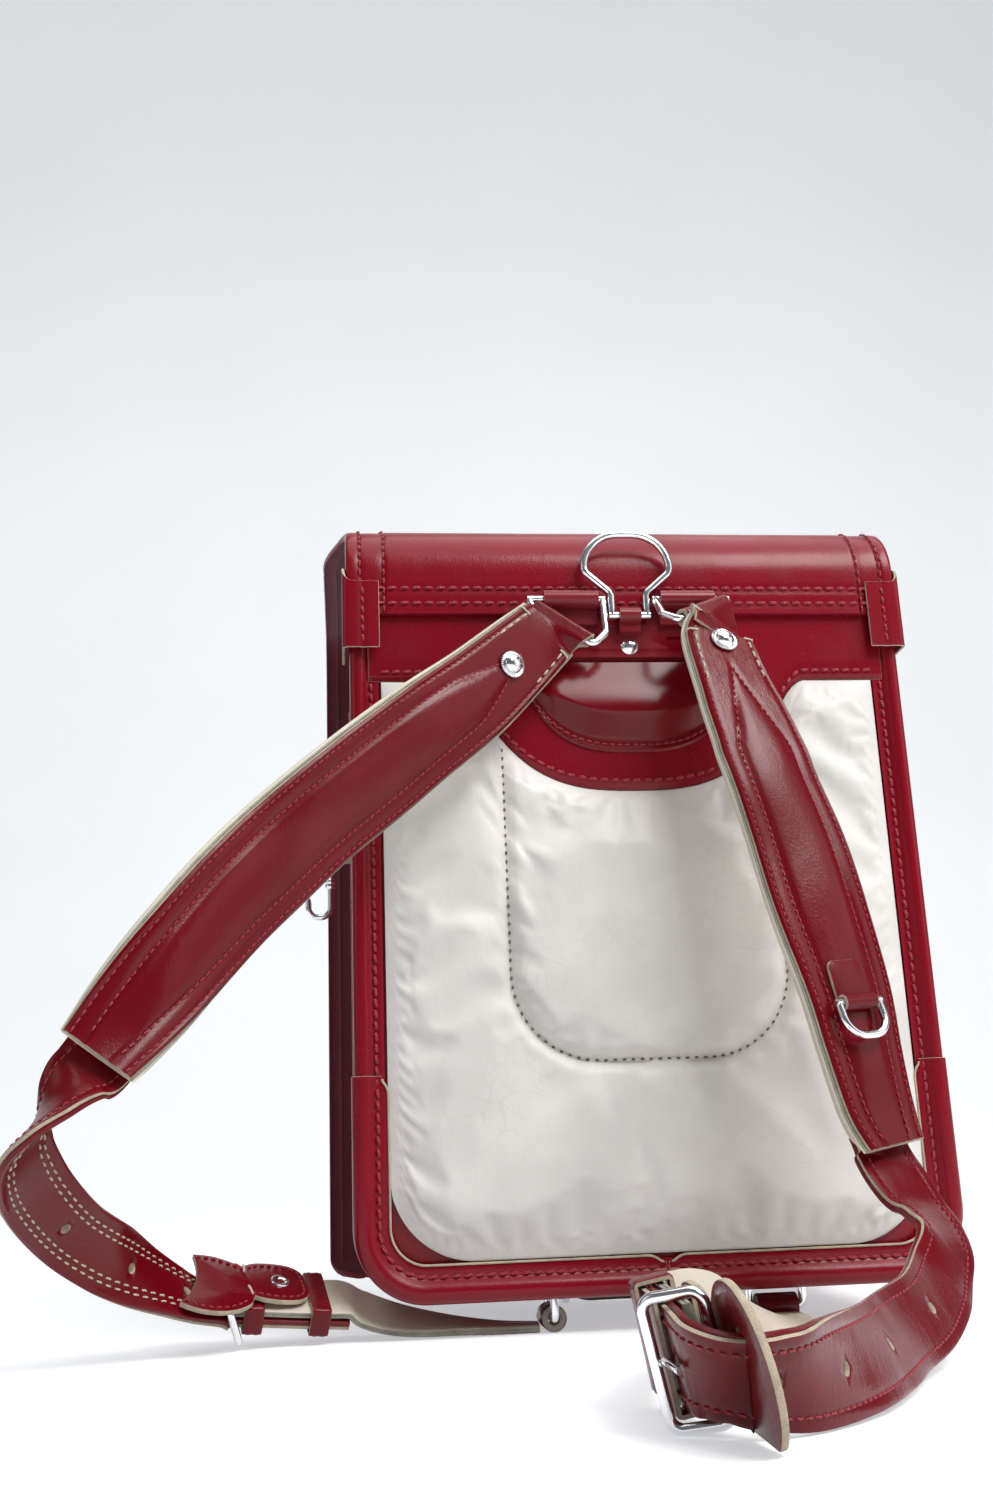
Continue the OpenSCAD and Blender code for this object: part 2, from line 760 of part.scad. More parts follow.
module flap_front() {
    color(red) difference() {
        sideways(flap_w / 2) front_profile(0, flap_t);
        translate([-flap_w, y_bend - 1, z_turn]) cube([2 * flap_w, 1 + hinge_gap, flap_r + 1]);
    }
}

module flap_lining() {
    color(deep_red) difference() {
        sideways(flap_w / 2 - 4) front_profile(flap_t, lining_t);
        translate([-flap_w, y_bend - 1, z_turn]) cube([2 * flap_w, 3, flap_r + 1]);
    }
}

// The tongue hinges at the end of the flap's lip.
tongue_y = y_flap_front - lip_r + (lip_r - flap_t / 2) * cos(lip_angle) - 1.2;
tongue_z = z_lip - (lip_r - flap_t / 2) * sin(lip_angle) - 0.9;
tongue_t = 2.4;
slot_y = tongue_y - knob_y;

module tongue_frame() {
    translate([0, tongue_y, tongue_z]) rotate([tongue_slope, 0, 0]) children();
}

module tongue() {
    r = 8;
    color(red) tongue_frame() difference() {
        union() {
            translate([0, 0, -tongue_t / 2]) linear_extrude(tongue_t) {
                translate([-tongue_w / 2, -tongue_l + r]) square([tongue_w, tongue_l - r]);
                translate([-tongue_w / 2 + r, -tongue_l]) square([tongue_w - 2 * r, r + e]);
                for (s = [-1, 1])
                    translate([s * (tongue_w / 2 - r), -tongue_l + r]) circle(r);
            }
            translate([-tongue_w / 2, 0, 0])
                rotate([0, 90, 0]) cylinder(r = tongue_t / 2, h = tongue_w);
        }
        translate([0, -slot_y - 0.5, 0]) slab(20.1, 28.1, 6, 4.05);
    }
}

module tongue_plate() {
    color(steel) tongue_frame() difference() {
        translate([0, -slot_y - 0.5, 0]) slab(20, 28, tongue_t, 4);
        translate([0, -slot_y - 0.5, 0]) slab(11, 22, 6, 4.5);
    }
}

/* Lower rings and side hook */

module lower_ring(low, along_x) {
    reach = 12;
    up = z_gusset - 3.2 - eye_r;
    path = [for (p = [[-reach, 0], [reach, 0], [reach, up], [-reach, up]])
            [p[0], p[1], low_wire_r + 1]];
    color(steel) in_plane([low[0], low[1], eye_r], along_x ? [1, 0, 0] : [0, 1, 0], [0, 0, 1])
        wire(path, low_wire_r);
    color(red) translate([low[0], low[1], z_gusset - 3.2]) difference() {
        translate([-8, -8, -2.6]) cube([16, 16, 5.8]);
        translate([along_x ? -9 : 0, along_x ? 0 : -9, 0])
            rotate(along_x ? [0, 90, 0] : [-90, 0, 0]) cylinder(r = low_wire_r + 0.02, h = 18);
    }
}

hook_y = board_t + main_depth * 0.62;
hook_z = z_bottom + back_h * 0.655;
hook_tab_out = 19;

module side_hook_tab() {
    x = -main_half;
    color(red) translate([x, hook_y, hook_z]) difference() {
        union() {
            translate([-1.6, -9, -46]) cube([1.6, 18, 70]);
            translate([-hook_tab_out + 4, 0, 0]) rotate([0, 0, 90]) rotate([90, 0, 90])
                translate([0, 0, -4]) linear_extrude(8) circle(4.4);
            translate([-hook_tab_out + 4, -4, -3]) cube([hook_tab_out - 5, 8, 6]);
        }
        translate([-hook_tab_out + 4, -12, 0]) rotate([-90, 0, 0]) cylinder(r = 1.56, h = 24);
    }
}

// The hook's bail turns on its pin, and below the barrel the wire ends in a J.
module side_hook() {
    r = 1.5;
    bail = [[-8, 0, 2], [8, 0, 2], [0, -18, 2]];
    hook = [[0, -16, 0], [0, -33, 5], [-11, -33, 5], [-11, -23, 0]];
    color(steel) translate([-main_half - hook_tab_out + 4, hook_y, hook_z]) {
        in_plane([0, 0, 0], [0, 1, 0], [0, 0, 1]) wire(bail, r);
        in_plane([0, 0, 0], [1, 0, 0], [0, 0, 1]) wire(hook, r, false);
        translate([0, 0, -19]) cylinder(r = 2.9, h = 5);
    }
}

/* Shoulder straps */

// Rows: share of height, offset in X, Y and Z, direction across, half width. Rows with a share
// of 0 are measured from the lower ring alone and give their own height.
half_pad = pad_w / 2;
half_belt = belt_w / 2;
left_route = [
    [0.993, -6, -2, 0, [0.75, 0.2, -0.63], half_pad * 0.69],
    [0.949, -18, -9, 0, [0.6, 0.3, -0.74], half_pad * 0.78],
    [0.871, -40, -23, 0, [0.6, 0.35, -0.7], half_pad * 0.89],
    [0.803, -62, -37, 0, [0.59, 0.5, -0.62], half_pad * 0.96],
    [0.74, -82, -48, 0, [0.56, 0.54, -0.63], half_pad],
    [0.676, -102, -60, 0, [0.56, 0.58, -0.59], half_pad],
    [0.616, -119, -70, 0, [0.6, 0.58, -0.56], half_pad],
    [0.548, -136, -84, 0, [0.59, 0.6, -0.52], half_pad * 0.98],
    [0.474, -152, -98, 0, [0.6, 0.5, -0.55], half_pad * 0.91],
    [0.412, -165, -109, 0, [0.62, 0.2, -0.7], half_pad * 0.8],
    [0.35, -178, -119, 0, [0.62, -0.1, -0.75], half_pad * 0.67]
];
left_turn = [
    [0, -180, -128, 103, [0.66, -0.5, -0.55], half_belt],
    [0, -186, -131, 95, [0.5, -0.82, -0.28], half_belt],
    [0, -192, -131, 87.5, [0.17, -0.98, -0.08], half_belt],
    [0, -196.5, -127, 81, [-0.24, -0.96, -0.15], half_belt],
    [0, -198, -119, 74.5, [-0.43, -0.9, -0.11], half_belt],
    [0, -196.5, -105, 66, [-0.65, -0.74, -0.2], half_belt],
    [0, -192.5, -91, 57.5, [-0.76, -0.61, -0.25], half_belt],
    [0, -187, -77, 49.5, [-0.8, -0.48, -0.37], half_belt],
    [0, -179, -63, 42, [-0.52, -0.1, -0.82], half_belt],
    [0, -171, -49, 35.5, [-0.16, -0.32, -0.91], half_belt],
    [0, -162, -36, 29.5, [0.12, -0.55, -0.82], half_belt],
    [0, -152, -24, 23.5, [0.28, -0.66, -0.68], half_belt],
    [0, -143, -13.5, 19, [0.42, -0.7, -0.56], half_belt],
    [0, -136, -7.6, 16.8, [0, -0.91, -0.41], half_belt],
    [0, -112, -2.4, 14.6, [0, -0.91, -0.41], half_belt],
    [0, -88, 3, 12.4, [0, -0.91, -0.41], half_belt]
];
left_return = [
    [0, -5.7, 0, 1.8, [0, 1, 0], 9],
    [0, -22, 1, 2.2, [0, 1, 0.05], 10],
    [0, -40, 2.5, 3.6, [0, 0.98, 0.12], half_belt - 1],
    [0, -57, 3.3, 5.6, [0, 0.95, 0.25], half_belt],
    [0, -70, 3, 8.4, [0, 0.92, 0.36], half_belt],
    [0, -80, 2.4, 12, [0, 0.91, 0.41], half_belt]
];
right_route = [
    [0.963, 3.8, -7, 0, [0.8, 0.54, 0.26], half_pad * 0.64],
    [0.949, 3, -9, 0, [0.81, 0.44, 0.38], half_pad * 0.78],
    [0.892, 4, -18, 0, [0.81, 0.4, 0.42], half_pad * 0.84],
    [0.832, 7, -25, 0, [0.81, 0.36, 0.46], half_pad * 0.91],
    [0.774, 10, -32, 0, [0.82, 0.36, 0.45], half_pad * 0.96],
    [0.716, 12, -40, 0, [0.84, 0.35, 0.42], half_pad * 0.98],
    [0.619, 17, -49, 0, [0.87, 0.28, 0.4], half_pad],
    [0.521, 20, -59, 0, [0.87, 0.29, 0.4], half_pad],
    [0.417, 24, -68, 0, [0.88, 0.38, 0.28], half_pad * 0.98],
    [0.337, 25, -75, 0, [0.87, 0.42, 0.26], half_pad * 0.91],
    [0.258, 27, -81, 0, [0.86, 0.47, 0.21], half_pad * 0.84],
    [0.212, 30, -86, 0, [0.85, 0.49, 0.2], half_pad * 0.71]
];
right_turn = [
    [0, 24, -94, 61, [0.97, 0.1, -0.2], half_belt],
    [0, 27, -104, 50, [0.95, 0.3, -0.1], half_belt],
    [0, 29.5, -114, 43.5, [0.84, 0.5, -0.16], half_belt],
    [0, 28.5, -126, 35.5, [0.74, 0.64, -0.17], half_belt],
    [0, 19.5, -142, 25.5, [0.79, 0.54, -0.28], half_belt],
    [0, 5, -164, 18, [0.74, 0.48, -0.47], half_belt],
    [0, -13.5, -188, 14.5, [0.7, 0.38, -0.6], half_belt],
    [0, -28, -214, 14, [0.63, 0.36, -0.69], half_belt],
    [0, -44, -239, 14, [0.54, 0.36, -0.75], half_belt],
    [0, -64, -262, 14.2, [0.37, 0.5, -0.78], half_belt],
    [0, -78, -271, 15, [0.24, 0.57, -0.79], half_belt],
    [0, -88, -272.5, 16, [0.18, 0.57, -0.8], half_belt],
    [0, -94.5, -267, 17.4, [0.17, 0.54, -0.82], half_belt],
    [0, -97, -258, 18.9, [0.17, 0.52, -0.84], half_belt],
    [0, -96.8, -232, 20.6, [0.17, 0.52, -0.84], half_belt],
    [0, -96.5, -206, 22.3, [0.17, 0.52, -0.84], half_belt]
];
right_return = [
    [0, 0, -5.7, 1.8, [-1, 0, 0], 9],
    [0, -2, -22, 2, [-1, 0.05, 0], 10],
    [0, -10, -46, 4.6, [-0.93, 0.3, 0.2], half_belt - 1],
    [0, -28, -78, 10.6, [-0.7, 0.4, 0.55], half_belt],
    [0, -48, -114, 16.5, [-0.45, 0.2, 0.85], half_belt],
    [0, -68, -148, 20, [-0.35, -0.15, 0.92], half_belt],
    [0, -85, -178, 21.4, [-0.2, -0.4, 0.9], half_belt]
];

// A station of rows moved inward by depth, with its across direction times side.
function inward(rows, i, depth, side) =
    let (p = spot(rows[i]) - outward(rows, i) * depth, a = across(rows, i) * side)
    [p[0], p[1], p[2], a[0], a[1], a[2], half_belt];

// The belt comes out from under the end of the backing.
under_pad = backing_t + belt_t / 2 + 0.9;
lower_depth = belt_t / 2 + 0.6 + lower_t / 2;
steps = 2;

function pad_rows(route, low, top) = smooth(placed(route, low, top), steps);
function belt_rows(pad, turn, low, top) =
    let (last = len(pad) - 1)
    smooth(concat([inward(pad, last - 2, under_pad, 1), inward(pad, last, under_pad, 1)],
                  placed(turn, low, top)), steps);
function lower_rows(belt, back, low, top) =
    let (last = len(belt) - 1)
    smooth(concat(placed(back, low, top),
                  [for (k = [0 : 3]) inward(belt, last - k, lower_depth, -1)]), steps);

left_pad = pad_rows(left_route, left_low, left_top);
left_run = belt_rows(left_pad, left_turn, left_low, left_top);
left_back = lower_rows(left_run, left_return, left_low, left_top);
right_pad = pad_rows(right_route, right_low, right_top);
right_run = belt_rows(right_pad, right_turn, right_low, right_top);
right_back = lower_rows(right_run, right_return, right_low, right_top);

// Stations of each belt's holes, and of its buckle four stations before the tail
left_holes = [17, 22, 26, 30];
right_holes = [14, 18, 21, 24, 30];
left_buckle = len(left_run) - 5;
right_buckle = len(right_run) - 5;

module strap_face(rows) {
    color(red) band(rows, 0, face_t, 0.97);
}

module strap_backing(rows) {
    color(ivory) band([for (i = [2 : len(rows) - 1]) rows[i]], -backing_t, -0.5, 1, 1.6);
}

module perforated_belt(rows, holes) {
    color(red) difference() {
        band(rows, -belt_t / 2, belt_t / 2);
        for (i = holes)
            at_station(rows, i)
                translate([0, 0, -belt_t]) cylinder(r = hole_r, h = 2 * belt_t);
    }
}

module lower_belt(rows) {
    color(ivory) band(rows, -lower_t / 2, lower_t / 2);
}

module strap_fold(side, lean, top) {
    along = ring_vector(side, lean, ring_dir);
    color(red) difference() {
        rod(top - along * 14, top + along * 5, 5.2);
        rod(top - along * 18, top + along * 9, wire_r + 1);
    }
}

module strap_rivet(rows) {
    color(steel) at_station(rows, 3) translate([-4, 0, face_t + 0.7]) {
        cylinder(r = 6.1, h = 1.2);
        intersection() {
            translate([0, 0, 1.2 - 3.6]) sphere(5.5);
            translate([0, 0, 1.2]) cylinder(r = 4.6, h = 4);
        }
    }
}

module belt_eye(low, along_x) {
    width = 18;
    color(red) translate([low[0], low[1], eye_r])
        rotate(along_x ? [0, 90, 0] : [90, 0, 0])
            translate([0, 0, -width / 2]) difference() {
                cylinder(r = eye_r, h = width);
                translate([0, 0, -1]) cylinder(r = low_wire_r + 0.8, h = width + 2);
            }
}

// The buckle's two bars lie outside the perforated belt and inside the lower one.
bar_out = belt_t / 2 + 3.4 + buckle_r;
bar_in = -lower_depth - lower_t / 2 - 0.4 - buckle_r;
bar_slant = [8, bar_out - bar_in];

module buckle_frame(rows, i) {
    half = half_belt + 3.4;
    reach = norm(bar_slant);
    path = [for (p = [[-half, 0], [half, 0], [half, reach], [-half, reach]])
            [p[0], p[1], buckle_r + 2]];
    color(steel) at_station(rows, i)
        in_plane([bar_slant[0] / 2, 0, bar_out], [0, 1, 0],
                 [-bar_slant[0], 0, -bar_slant[1]] / reach)
            wire(path, buckle_r);
}

module buckle_prong(rows, i) {
    z = belt_t / 2 + 1.9;
    color(steel) at_station(rows, i) rod([5.5, 0, z], [-7, 0, z], 1.1);
}

// Two lobes joined by a waist. The belt comes out past the cut edge of the left one's larger
// lobe, and through the slot of the right one's.
leather_t = 2.3;
leather_gap = 0.7;
lobe_r = 21.5;
small_lobe_r = 14;
waist_half = 11;
left_lobe = [-12, 4];
left_cut = [[-60, -30], [-15, -30], [-15.2, -8.4], [-17.4, 6.6], [-27, 22.7], [-32, 40], [-60, 40]];
right_lobe = [-18, 0.5];
right_slot = [-15.4, 4.2];

module buckle_leather(rows, i, lobe) {
    color(red) at_station(rows, i)
        translate([0, 0, bar_in - buckle_r - leather_gap - leather_t]) linear_extrude(leather_t)
            difference() {
                union() {
                    translate(lobe) circle(r = lobe_r);
                    translate([17.5, 0]) circle(r = small_lobe_r);
                    translate([-8, -waist_half]) square([24, 2 * waist_half]);
                }
                children();
            }
}

module left_buckle_leather() {
    buckle_leather(left_run, left_buckle, left_lobe) polygon(left_cut);
}

module right_buckle_leather() {
    buckle_leather(right_run, right_buckle, right_lobe) {
        translate(right_slot) rotate(60.6) square([31, 9], center = true);
        translate([-42, 18.4]) square([44, 8]);
    }
}

module keeper_pair(rows, i) {
    outer = belt_t / 2 + 2.2;
    inner = -lower_depth - lower_t / 2 - 2.2;
    wall = 1.8;
    color(red) for (k = [1, 3])
        at_station(rows, i + k)
            translate([-6, 0, 0]) rotate([0, 90, 0]) difference() {
                translate([-outer, -half_belt - wall - 0.6, 0])
                    cube([outer - inner, belt_w + 2 * wall + 1.2, 8]);
                translate([-outer + wall, -half_belt - 0.6, -1])
                    cube([outer - inner - 2 * wall, belt_w + 1.2, 10]);
            }
}

d_station = 16;
d_pin_x = 9;
d_side = -3;
d_pin_z = face_t + 4.4;

module d_ring_tab() {
    color(red) at_station(right_pad, d_station) difference() {
        union() {
            translate([-9, d_side - 8, face_t + 0.6]) cube([18, 16, 1.8]);
            translate([d_pin_x, d_side - 8, d_pin_z - 0.4]) rotate([-90, 0, 0]) cylinder(r = 3.4, h = 16);
        }
        translate([d_pin_x, d_side - 10, d_pin_z])
            rotate([-90, 0, 0]) cylinder(r = 1.66, h = 20);
    }
}

module d_ring() {
    path = [[0, -10, 0], [14, -10, 8], [14, 10, 8], [0, 10, 0]];
    color(steel) at_station(right_pad, d_station)
        translate([d_pin_x, d_side, d_pin_z]) rotate([0, -6, 0]) {
            wire(path, 1.6, false);
            translate([0, -11.6, 0]) rotate([-90, 0, 0]) cylinder(r = 1.6, h = 23.2);
        }
}

back_board();
back_rolled_edge();
back_cushion();
yoke();
back_rest();
corner_patch(-1);  // left_corner_patch
corner_patch(1);  // right_corner_patch
top_cap(-1);  // left_top_cap
top_cap(1);  // right_top_cap
strap_bracket();
bracket_rivet();
strap_ring(-1, left_lean);  // left_strap_ring
strap_ring(1, right_lean);  // right_strap_ring
hang_loop();
main_gusset();
front_board();
front_rolled_edge();
small_gusset();
small_front();
front_pocket();
zip_tapes();
zip_slider();
zip_pull();
lock_base();
lock_knob();
flap_root();
flap_top();
flap_front();
flap_lining();
tongue();
tongue_plate();
lower_ring(left_low, false);  // left_lower_ring
lower_ring(right_low, true);  // right_lower_ring
side_hook_tab();
side_hook();
strap_fold(-1, left_lean, left_top);  // left_strap_fold
strap_rivet(left_pad);  // left_strap_rivet
strap_face(left_pad);  // left_strap_face
strap_backing(left_pad);  // left_strap_backing
perforated_belt(left_run, left_holes);  // left_belt
lower_belt(left_back);  // left_lower_belt
belt_eye(left_low, false);  // left_belt_eye
buckle_frame(left_run, left_buckle);  // left_buckle_frame
buckle_prong(left_run, left_buckle);  // left_buckle_prong
left_buckle_leather();
keeper_pair(left_run, left_buckle);  // left_keepers
strap_fold(1, right_lean, right_top);  // right_strap_fold
strap_rivet(right_pad);  // right_strap_rivet
strap_face(right_pad);  // right_strap_face
strap_backing(right_pad);  // right_strap_backing
perforated_belt(right_run, right_holes);  // right_belt
lower_belt(right_back);  // right_lower_belt
belt_eye(right_low, true);  // right_belt_eye
buckle_frame(right_run, right_buckle);  // right_buckle_frame
buckle_prong(right_run, right_buckle);  // right_buckle_prong
right_buckle_leather();
keeper_pair(right_run, right_buckle);  // right_keepers
d_ring_tab();
d_ring();
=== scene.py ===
import math
import bmesh
import bpy
import numpy as np
from mathutils import Matrix, Vector


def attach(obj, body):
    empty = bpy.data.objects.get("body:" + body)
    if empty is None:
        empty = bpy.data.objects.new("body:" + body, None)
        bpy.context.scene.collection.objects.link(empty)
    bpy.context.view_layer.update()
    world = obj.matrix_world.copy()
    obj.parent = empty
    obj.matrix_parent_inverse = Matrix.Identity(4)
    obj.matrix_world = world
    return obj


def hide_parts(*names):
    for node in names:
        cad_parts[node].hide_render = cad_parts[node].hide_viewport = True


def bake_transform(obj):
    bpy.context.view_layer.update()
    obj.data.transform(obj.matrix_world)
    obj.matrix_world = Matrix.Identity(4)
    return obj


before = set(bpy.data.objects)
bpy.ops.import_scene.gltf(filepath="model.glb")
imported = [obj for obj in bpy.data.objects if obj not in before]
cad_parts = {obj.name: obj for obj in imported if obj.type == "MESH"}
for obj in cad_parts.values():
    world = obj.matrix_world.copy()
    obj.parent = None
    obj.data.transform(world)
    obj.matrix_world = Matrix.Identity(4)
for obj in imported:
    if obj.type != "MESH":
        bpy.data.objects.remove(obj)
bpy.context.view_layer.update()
mm = 0.001
sideNames = {-1: "left", 1: "right"}


# Shader maths


class Sock:
    def __init__(self, shade, socket):
        self.shade, self.socket = shade, socket

    def __add__(self, other):
        return self.shade.math("ADD", self, other)

    def __sub__(self, other):
        return self.shade.math("SUBTRACT", self, other)

    def __rsub__(self, other):
        return self.shade.math("SUBTRACT", other, self)

    def __mul__(self, other):
        return self.shade.math("MULTIPLY", self, other)

    __radd__ = __add__
    __rmul__ = __mul__


class Shade:
    def __init__(self, name, **uniform):
        self.mat = bpy.data.materials.new(name)
        self.mat.use_nodes = True
        self.tree = self.mat.node_tree
        self.main = self.tree.nodes["Principled BSDF"]
        self.set(**uniform)

    # Settings come first, then socket values or links by name or number.
    def node(self, kind, settings=None, inputs=None, out=0):
        made = self.tree.nodes.new("ShaderNode" + kind)
        for key, value in (settings or {}).items():
            setattr(made, key, value)
        for key, value in (inputs or {}).items():
            self.plug(made.inputs[key], value)
        return Sock(self, made.outputs[out])

    def plug(self, target, value):
        if isinstance(value, Sock):
            self.tree.links.new(value.socket, target)
        else:
            target.default_value = value

    def math(self, op, a, b):
        return self.node("Math", {"operation": op}, {0: a, 1: b})

    def set(self, **values):
        for key, value in values.items():
            self.plug(self.main.inputs[key.replace("_", " ")], value)

    def at(self):
        return self.node("TexCoord", out="Object")

    def scaled(self, x, y, z):
        return self.node("Mapping", None, {"Vector": self.at(), "Scale": (x, y, z)})

    def noise(self, scale, detail=3.0, rough=0.5, where=None):
        return self.node("TexNoise", None, {"Vector": where or self.at(), "Scale": scale,
                                            "Detail": detail, "Roughness": rough})

    def cells(self, scale, feature, where=None):
        return self.node("TexVoronoi", {"feature": feature},
                         {"Vector": where or self.at(), "Scale": scale})

    def weave(self, direction, pitch):
        return self.node("TexWave", {"bands_direction": direction},
                         {"Vector": self.at(), "Scale": pitch, "Distortion": 0.6})

    def ramp(self, value, low, high, outLow=0.0, outHigh=1.0):
        return self.node("MapRange", {"interpolation_type": "SMOOTHSTEP"},
                         {0: value, 1: low, 2: high, 3: outLow, 4: outHigh})

    def mix(self, factor, a, b):
        return self.node("Mix", {"data_type": "RGBA"}, {0: factor, 6: a, 7: b}, 2)

    def bump(self, height, depth, strength, under=None):
        inputs = {"Height": height, "Distance": depth, "Strength": strength}
        if under:
            inputs["Normal"] = under
        return self.node("Bump", None, inputs)


def rgb(r, g, b):
    return (r, g, b, 1.0)


def leather(name, base, pale, gloss, coat, grain=0.00016, crease=0.0, cracks=None):
    size = {"cloud": 24.0, "fine": 900.0, "pebble": 1300.0, "scuff": 60.0, "crack": 70.0,
            "patch": 14.0, "dirt": 9.0, "crease": 55.0}
    much = {"scuff": 0.1, "wear": 0.25, "crack": 0.12, "dirt": 0.07, "shade": 0.86}
    s = Shade(name, Coat_Roughness=0.2, Specular_IOR_Level=0.24)
    cloudy = s.noise(size["cloud"], 4.0)
    fine = s.noise(size["fine"], 2.0)
    pebble = s.cells(size["pebble"], "SMOOTH_F1")
    scuff = s.ramp(s.noise(size["scuff"], 6.0, 0.75, s.scaled(1.0, 1.0, 3.5)), 0.64, 0.76)
    wear = s.ramp(s.node("NewGeometry", out="Pointiness"), 0.53, 0.6)
    deep = [c * much["shade"] for c in base[:3]] + [1.0]
    colour = s.mix(s.ramp(cloudy, 0.3, 0.7), base, deep)
    colour = s.mix(scuff * much["scuff"] + wear * much["wear"], colour, pale)
    normal = s.bump(pebble * 0.5 + fine * 0.5, grain, 0.5)
    if cracks:
        net = s.cells(size["crack"], "DISTANCE_TO_EDGE", s.scaled(1.0, 1.0, 1.9))
        fold = s.ramp(net, 0.0, 0.035, 1.0, 0.0)
        where = s.ramp(s.noise(size["patch"], 2.0), 0.5, 0.64)
        dirt = s.ramp(s.noise(size["dirt"], 5.0, 0.65), 0.5, 0.8)
        colour = s.mix(fold * where * much["crack"], colour, cracks)
        colour = s.mix(dirt * much["dirt"], colour, cracks)
    if crease:
        long = s.noise(size["crease"], 4.0, 0.6, s.scaled(1.0, 1.0, 0.35))
        normal = s.bump(long, crease, 0.6, normal)
    s.set(Base_Color=colour, Normal=normal, Coat_Weight=coat,
          Roughness=s.ramp(cloudy + scuff * 0.3, 0.3, 0.9, gloss - 0.05, gloss + 0.12))
    return s.mat


def rawEdge(name, base, dark):
    s = Shade(name)
    fibre = s.noise(1400.0, 5.0, 0.7)
    band = s.noise(160.0)
    s.set(Base_Color=s.mix(s.ramp(fibre * 0.6 + band * 0.5, 0.35, 0.75), base, dark),
          Roughness=s.ramp(fibre, 0.3, 0.7, 0.7, 0.92), Normal=s.bump(fibre, 0.0003, 0.7))
    return s.mat


def thread(name, base, dark):
    s = Shade(name, Sheen_Weight=0.2)
    twist = s.node("TexWave", {"wave_type": "BANDS", "bands_direction": "DIAGONAL"},
                   {"Vector": s.at(), "Scale": 420.0, "Distortion": 1.5})
    s.set(Base_Color=s.mix(s.ramp(twist, 0.1, 0.9), dark, base),
          Roughness=s.ramp(twist, 0.0, 1.0, 0.62, 0.5), Normal=s.bump(twist, 0.0002, 0.6))
    return s.mat


def metal(name, base, dull, gloss):
    s = Shade(name, Metallic=1.0)
    smear = s.noise(120.0, 5.0, 0.7)
    spot = s.ramp(s.noise(900.0), 0.66, 0.74)
    s.set(Base_Color=s.mix(spot * 0.35, base, dull),
          Roughness=s.ramp(smear, 0.3, 0.8, gloss, gloss + 0.14) + spot * 0.15,
          Normal=s.bump(s.noise(700.0, 2.0), 0.00004, 0.35))
    return s.mat


def woven(name, base, dark, pitch):
    s = Shade(name, Sheen_Weight=0.25)
    across, along = s.weave("X", pitch), s.weave("Z", pitch)
    s.set(Base_Color=s.mix(across * along, dark, base),
          Roughness=s.ramp(across, 0.0, 1.0, 0.75, 0.9), Normal=s.bump(across + along, 0.0002, 0.6))
    return s.mat


red = leather("redLeather", rgb(0.24, 0.002, 0.012), rgb(0.5, 0.07, 0.1), 0.27, 0.06,
              crease=0.0005)
# The straps' leather is the body's red with a darker base: the real red with painted shade.
shadedStrapRed = leather("strapLeather", rgb(0.15, 0.001, 0.006), rgb(0.42, 0.06, 0.08), 0.27, 0.06,
                   crease=0.0008)
mouldRed = leather("mouldedRed", rgb(0.17, 0.0015, 0.008), rgb(0.42, 0.06, 0.08), 0.24, 0.1,
                   grain=0.00008)
ivory = leather("ivoryLeather", rgb(0.83, 0.8, 0.765), rgb(0.9, 0.885, 0.87), 0.42, 0.08,
                grain=0.00014, crease=0.0006, cracks=rgb(0.36, 0.3, 0.24))
liningIvory = leather("ivoryLining", rgb(0.74, 0.66, 0.55), rgb(0.85, 0.8, 0.7), 0.5, 0.05,
                      crease=0.0012, cracks=rgb(0.42, 0.37, 0.3))
cream = rawEdge("rawEdge", rgb(0.62, 0.52, 0.37), rgb(0.36, 0.31, 0.24))
grey = rawEdge("greyEdge", rgb(0.42, 0.4, 0.33), rgb(0.24, 0.24, 0.2))
redThread = thread("redThread", rgb(0.42, 0.01, 0.03), rgb(0.2, 0.004, 0.014))
paleThread = thread("creamThread", rgb(0.72, 0.62, 0.47), rgb(0.45, 0.38, 0.28))
darkThread = thread("darkThread", rgb(0.2, 0.18, 0.12), rgb(0.08, 0.07, 0.05))
chrome = metal("chrome", rgb(0.8, 0.8, 0.82), rgb(0.35, 0.33, 0.3), 0.12)
tape = woven("tape", rgb(0.2, 0.01, 0.03), rgb(0.09, 0.005, 0.015), 600.0)
lining = woven("lining", rgb(0.26, 0.03, 0.05), rgb(0.14, 0.015, 0.03), 900.0)
print("materials", len(bpy.data.materials))


# Mesh helpers, all in millimetres


def unit(v):
    v = np.asarray(v, float)
    return v / np.maximum(np.linalg.norm(v, axis=-1, keepdims=True), 1e-9)


def ease(x, low, high):
    t = np.clip((np.asarray(x, float) - low) / (high - low), 0, 1)
    return t * t * (3 - 2 * t)


# A bump of height 1 at the middle that fades over the width.
def bell(x, middle, width):
    return np.exp(-((x - middle) / width) ** 2)


def angles(sides):
    return np.arange(sides) / sides * math.tau


def runOf(line):
    return np.concatenate([[0], np.cumsum(np.linalg.norm(np.diff(line, axis=0), axis=1))])


# Directions to the left of a line drawn in two dimensions.
def leftOf(line):
    t = unit(np.gradient(line, axis=0))
    return np.stack([-t[:, 1], t[:, 0]], 1)


def resample(line, step):
    line = np.asarray(line, float)
    run = runOf(line)
    s = np.linspace(0, run[-1], max(3, int(run[-1] / step) + 1))
    return np.stack([np.interp(s, run, line[:, k]) for k in range(line.shape[1])], 1)


def closedLine(line, step):
    return resample(np.concatenate([line, line[:1]]), step)[:-1]


def upright(xz, y):
    xz = np.asarray(xz, float)
    return np.stack([xz[:, 0], np.broadcast_to(y, len(xz)).astype(float), xz[:, 1]], 1)


def arc(cx, cy, r, start, end, n):
    a = np.radians(np.linspace(start, end, n))
    return np.stack([cx + r * np.cos(a), cy + r * np.sin(a)], 1)


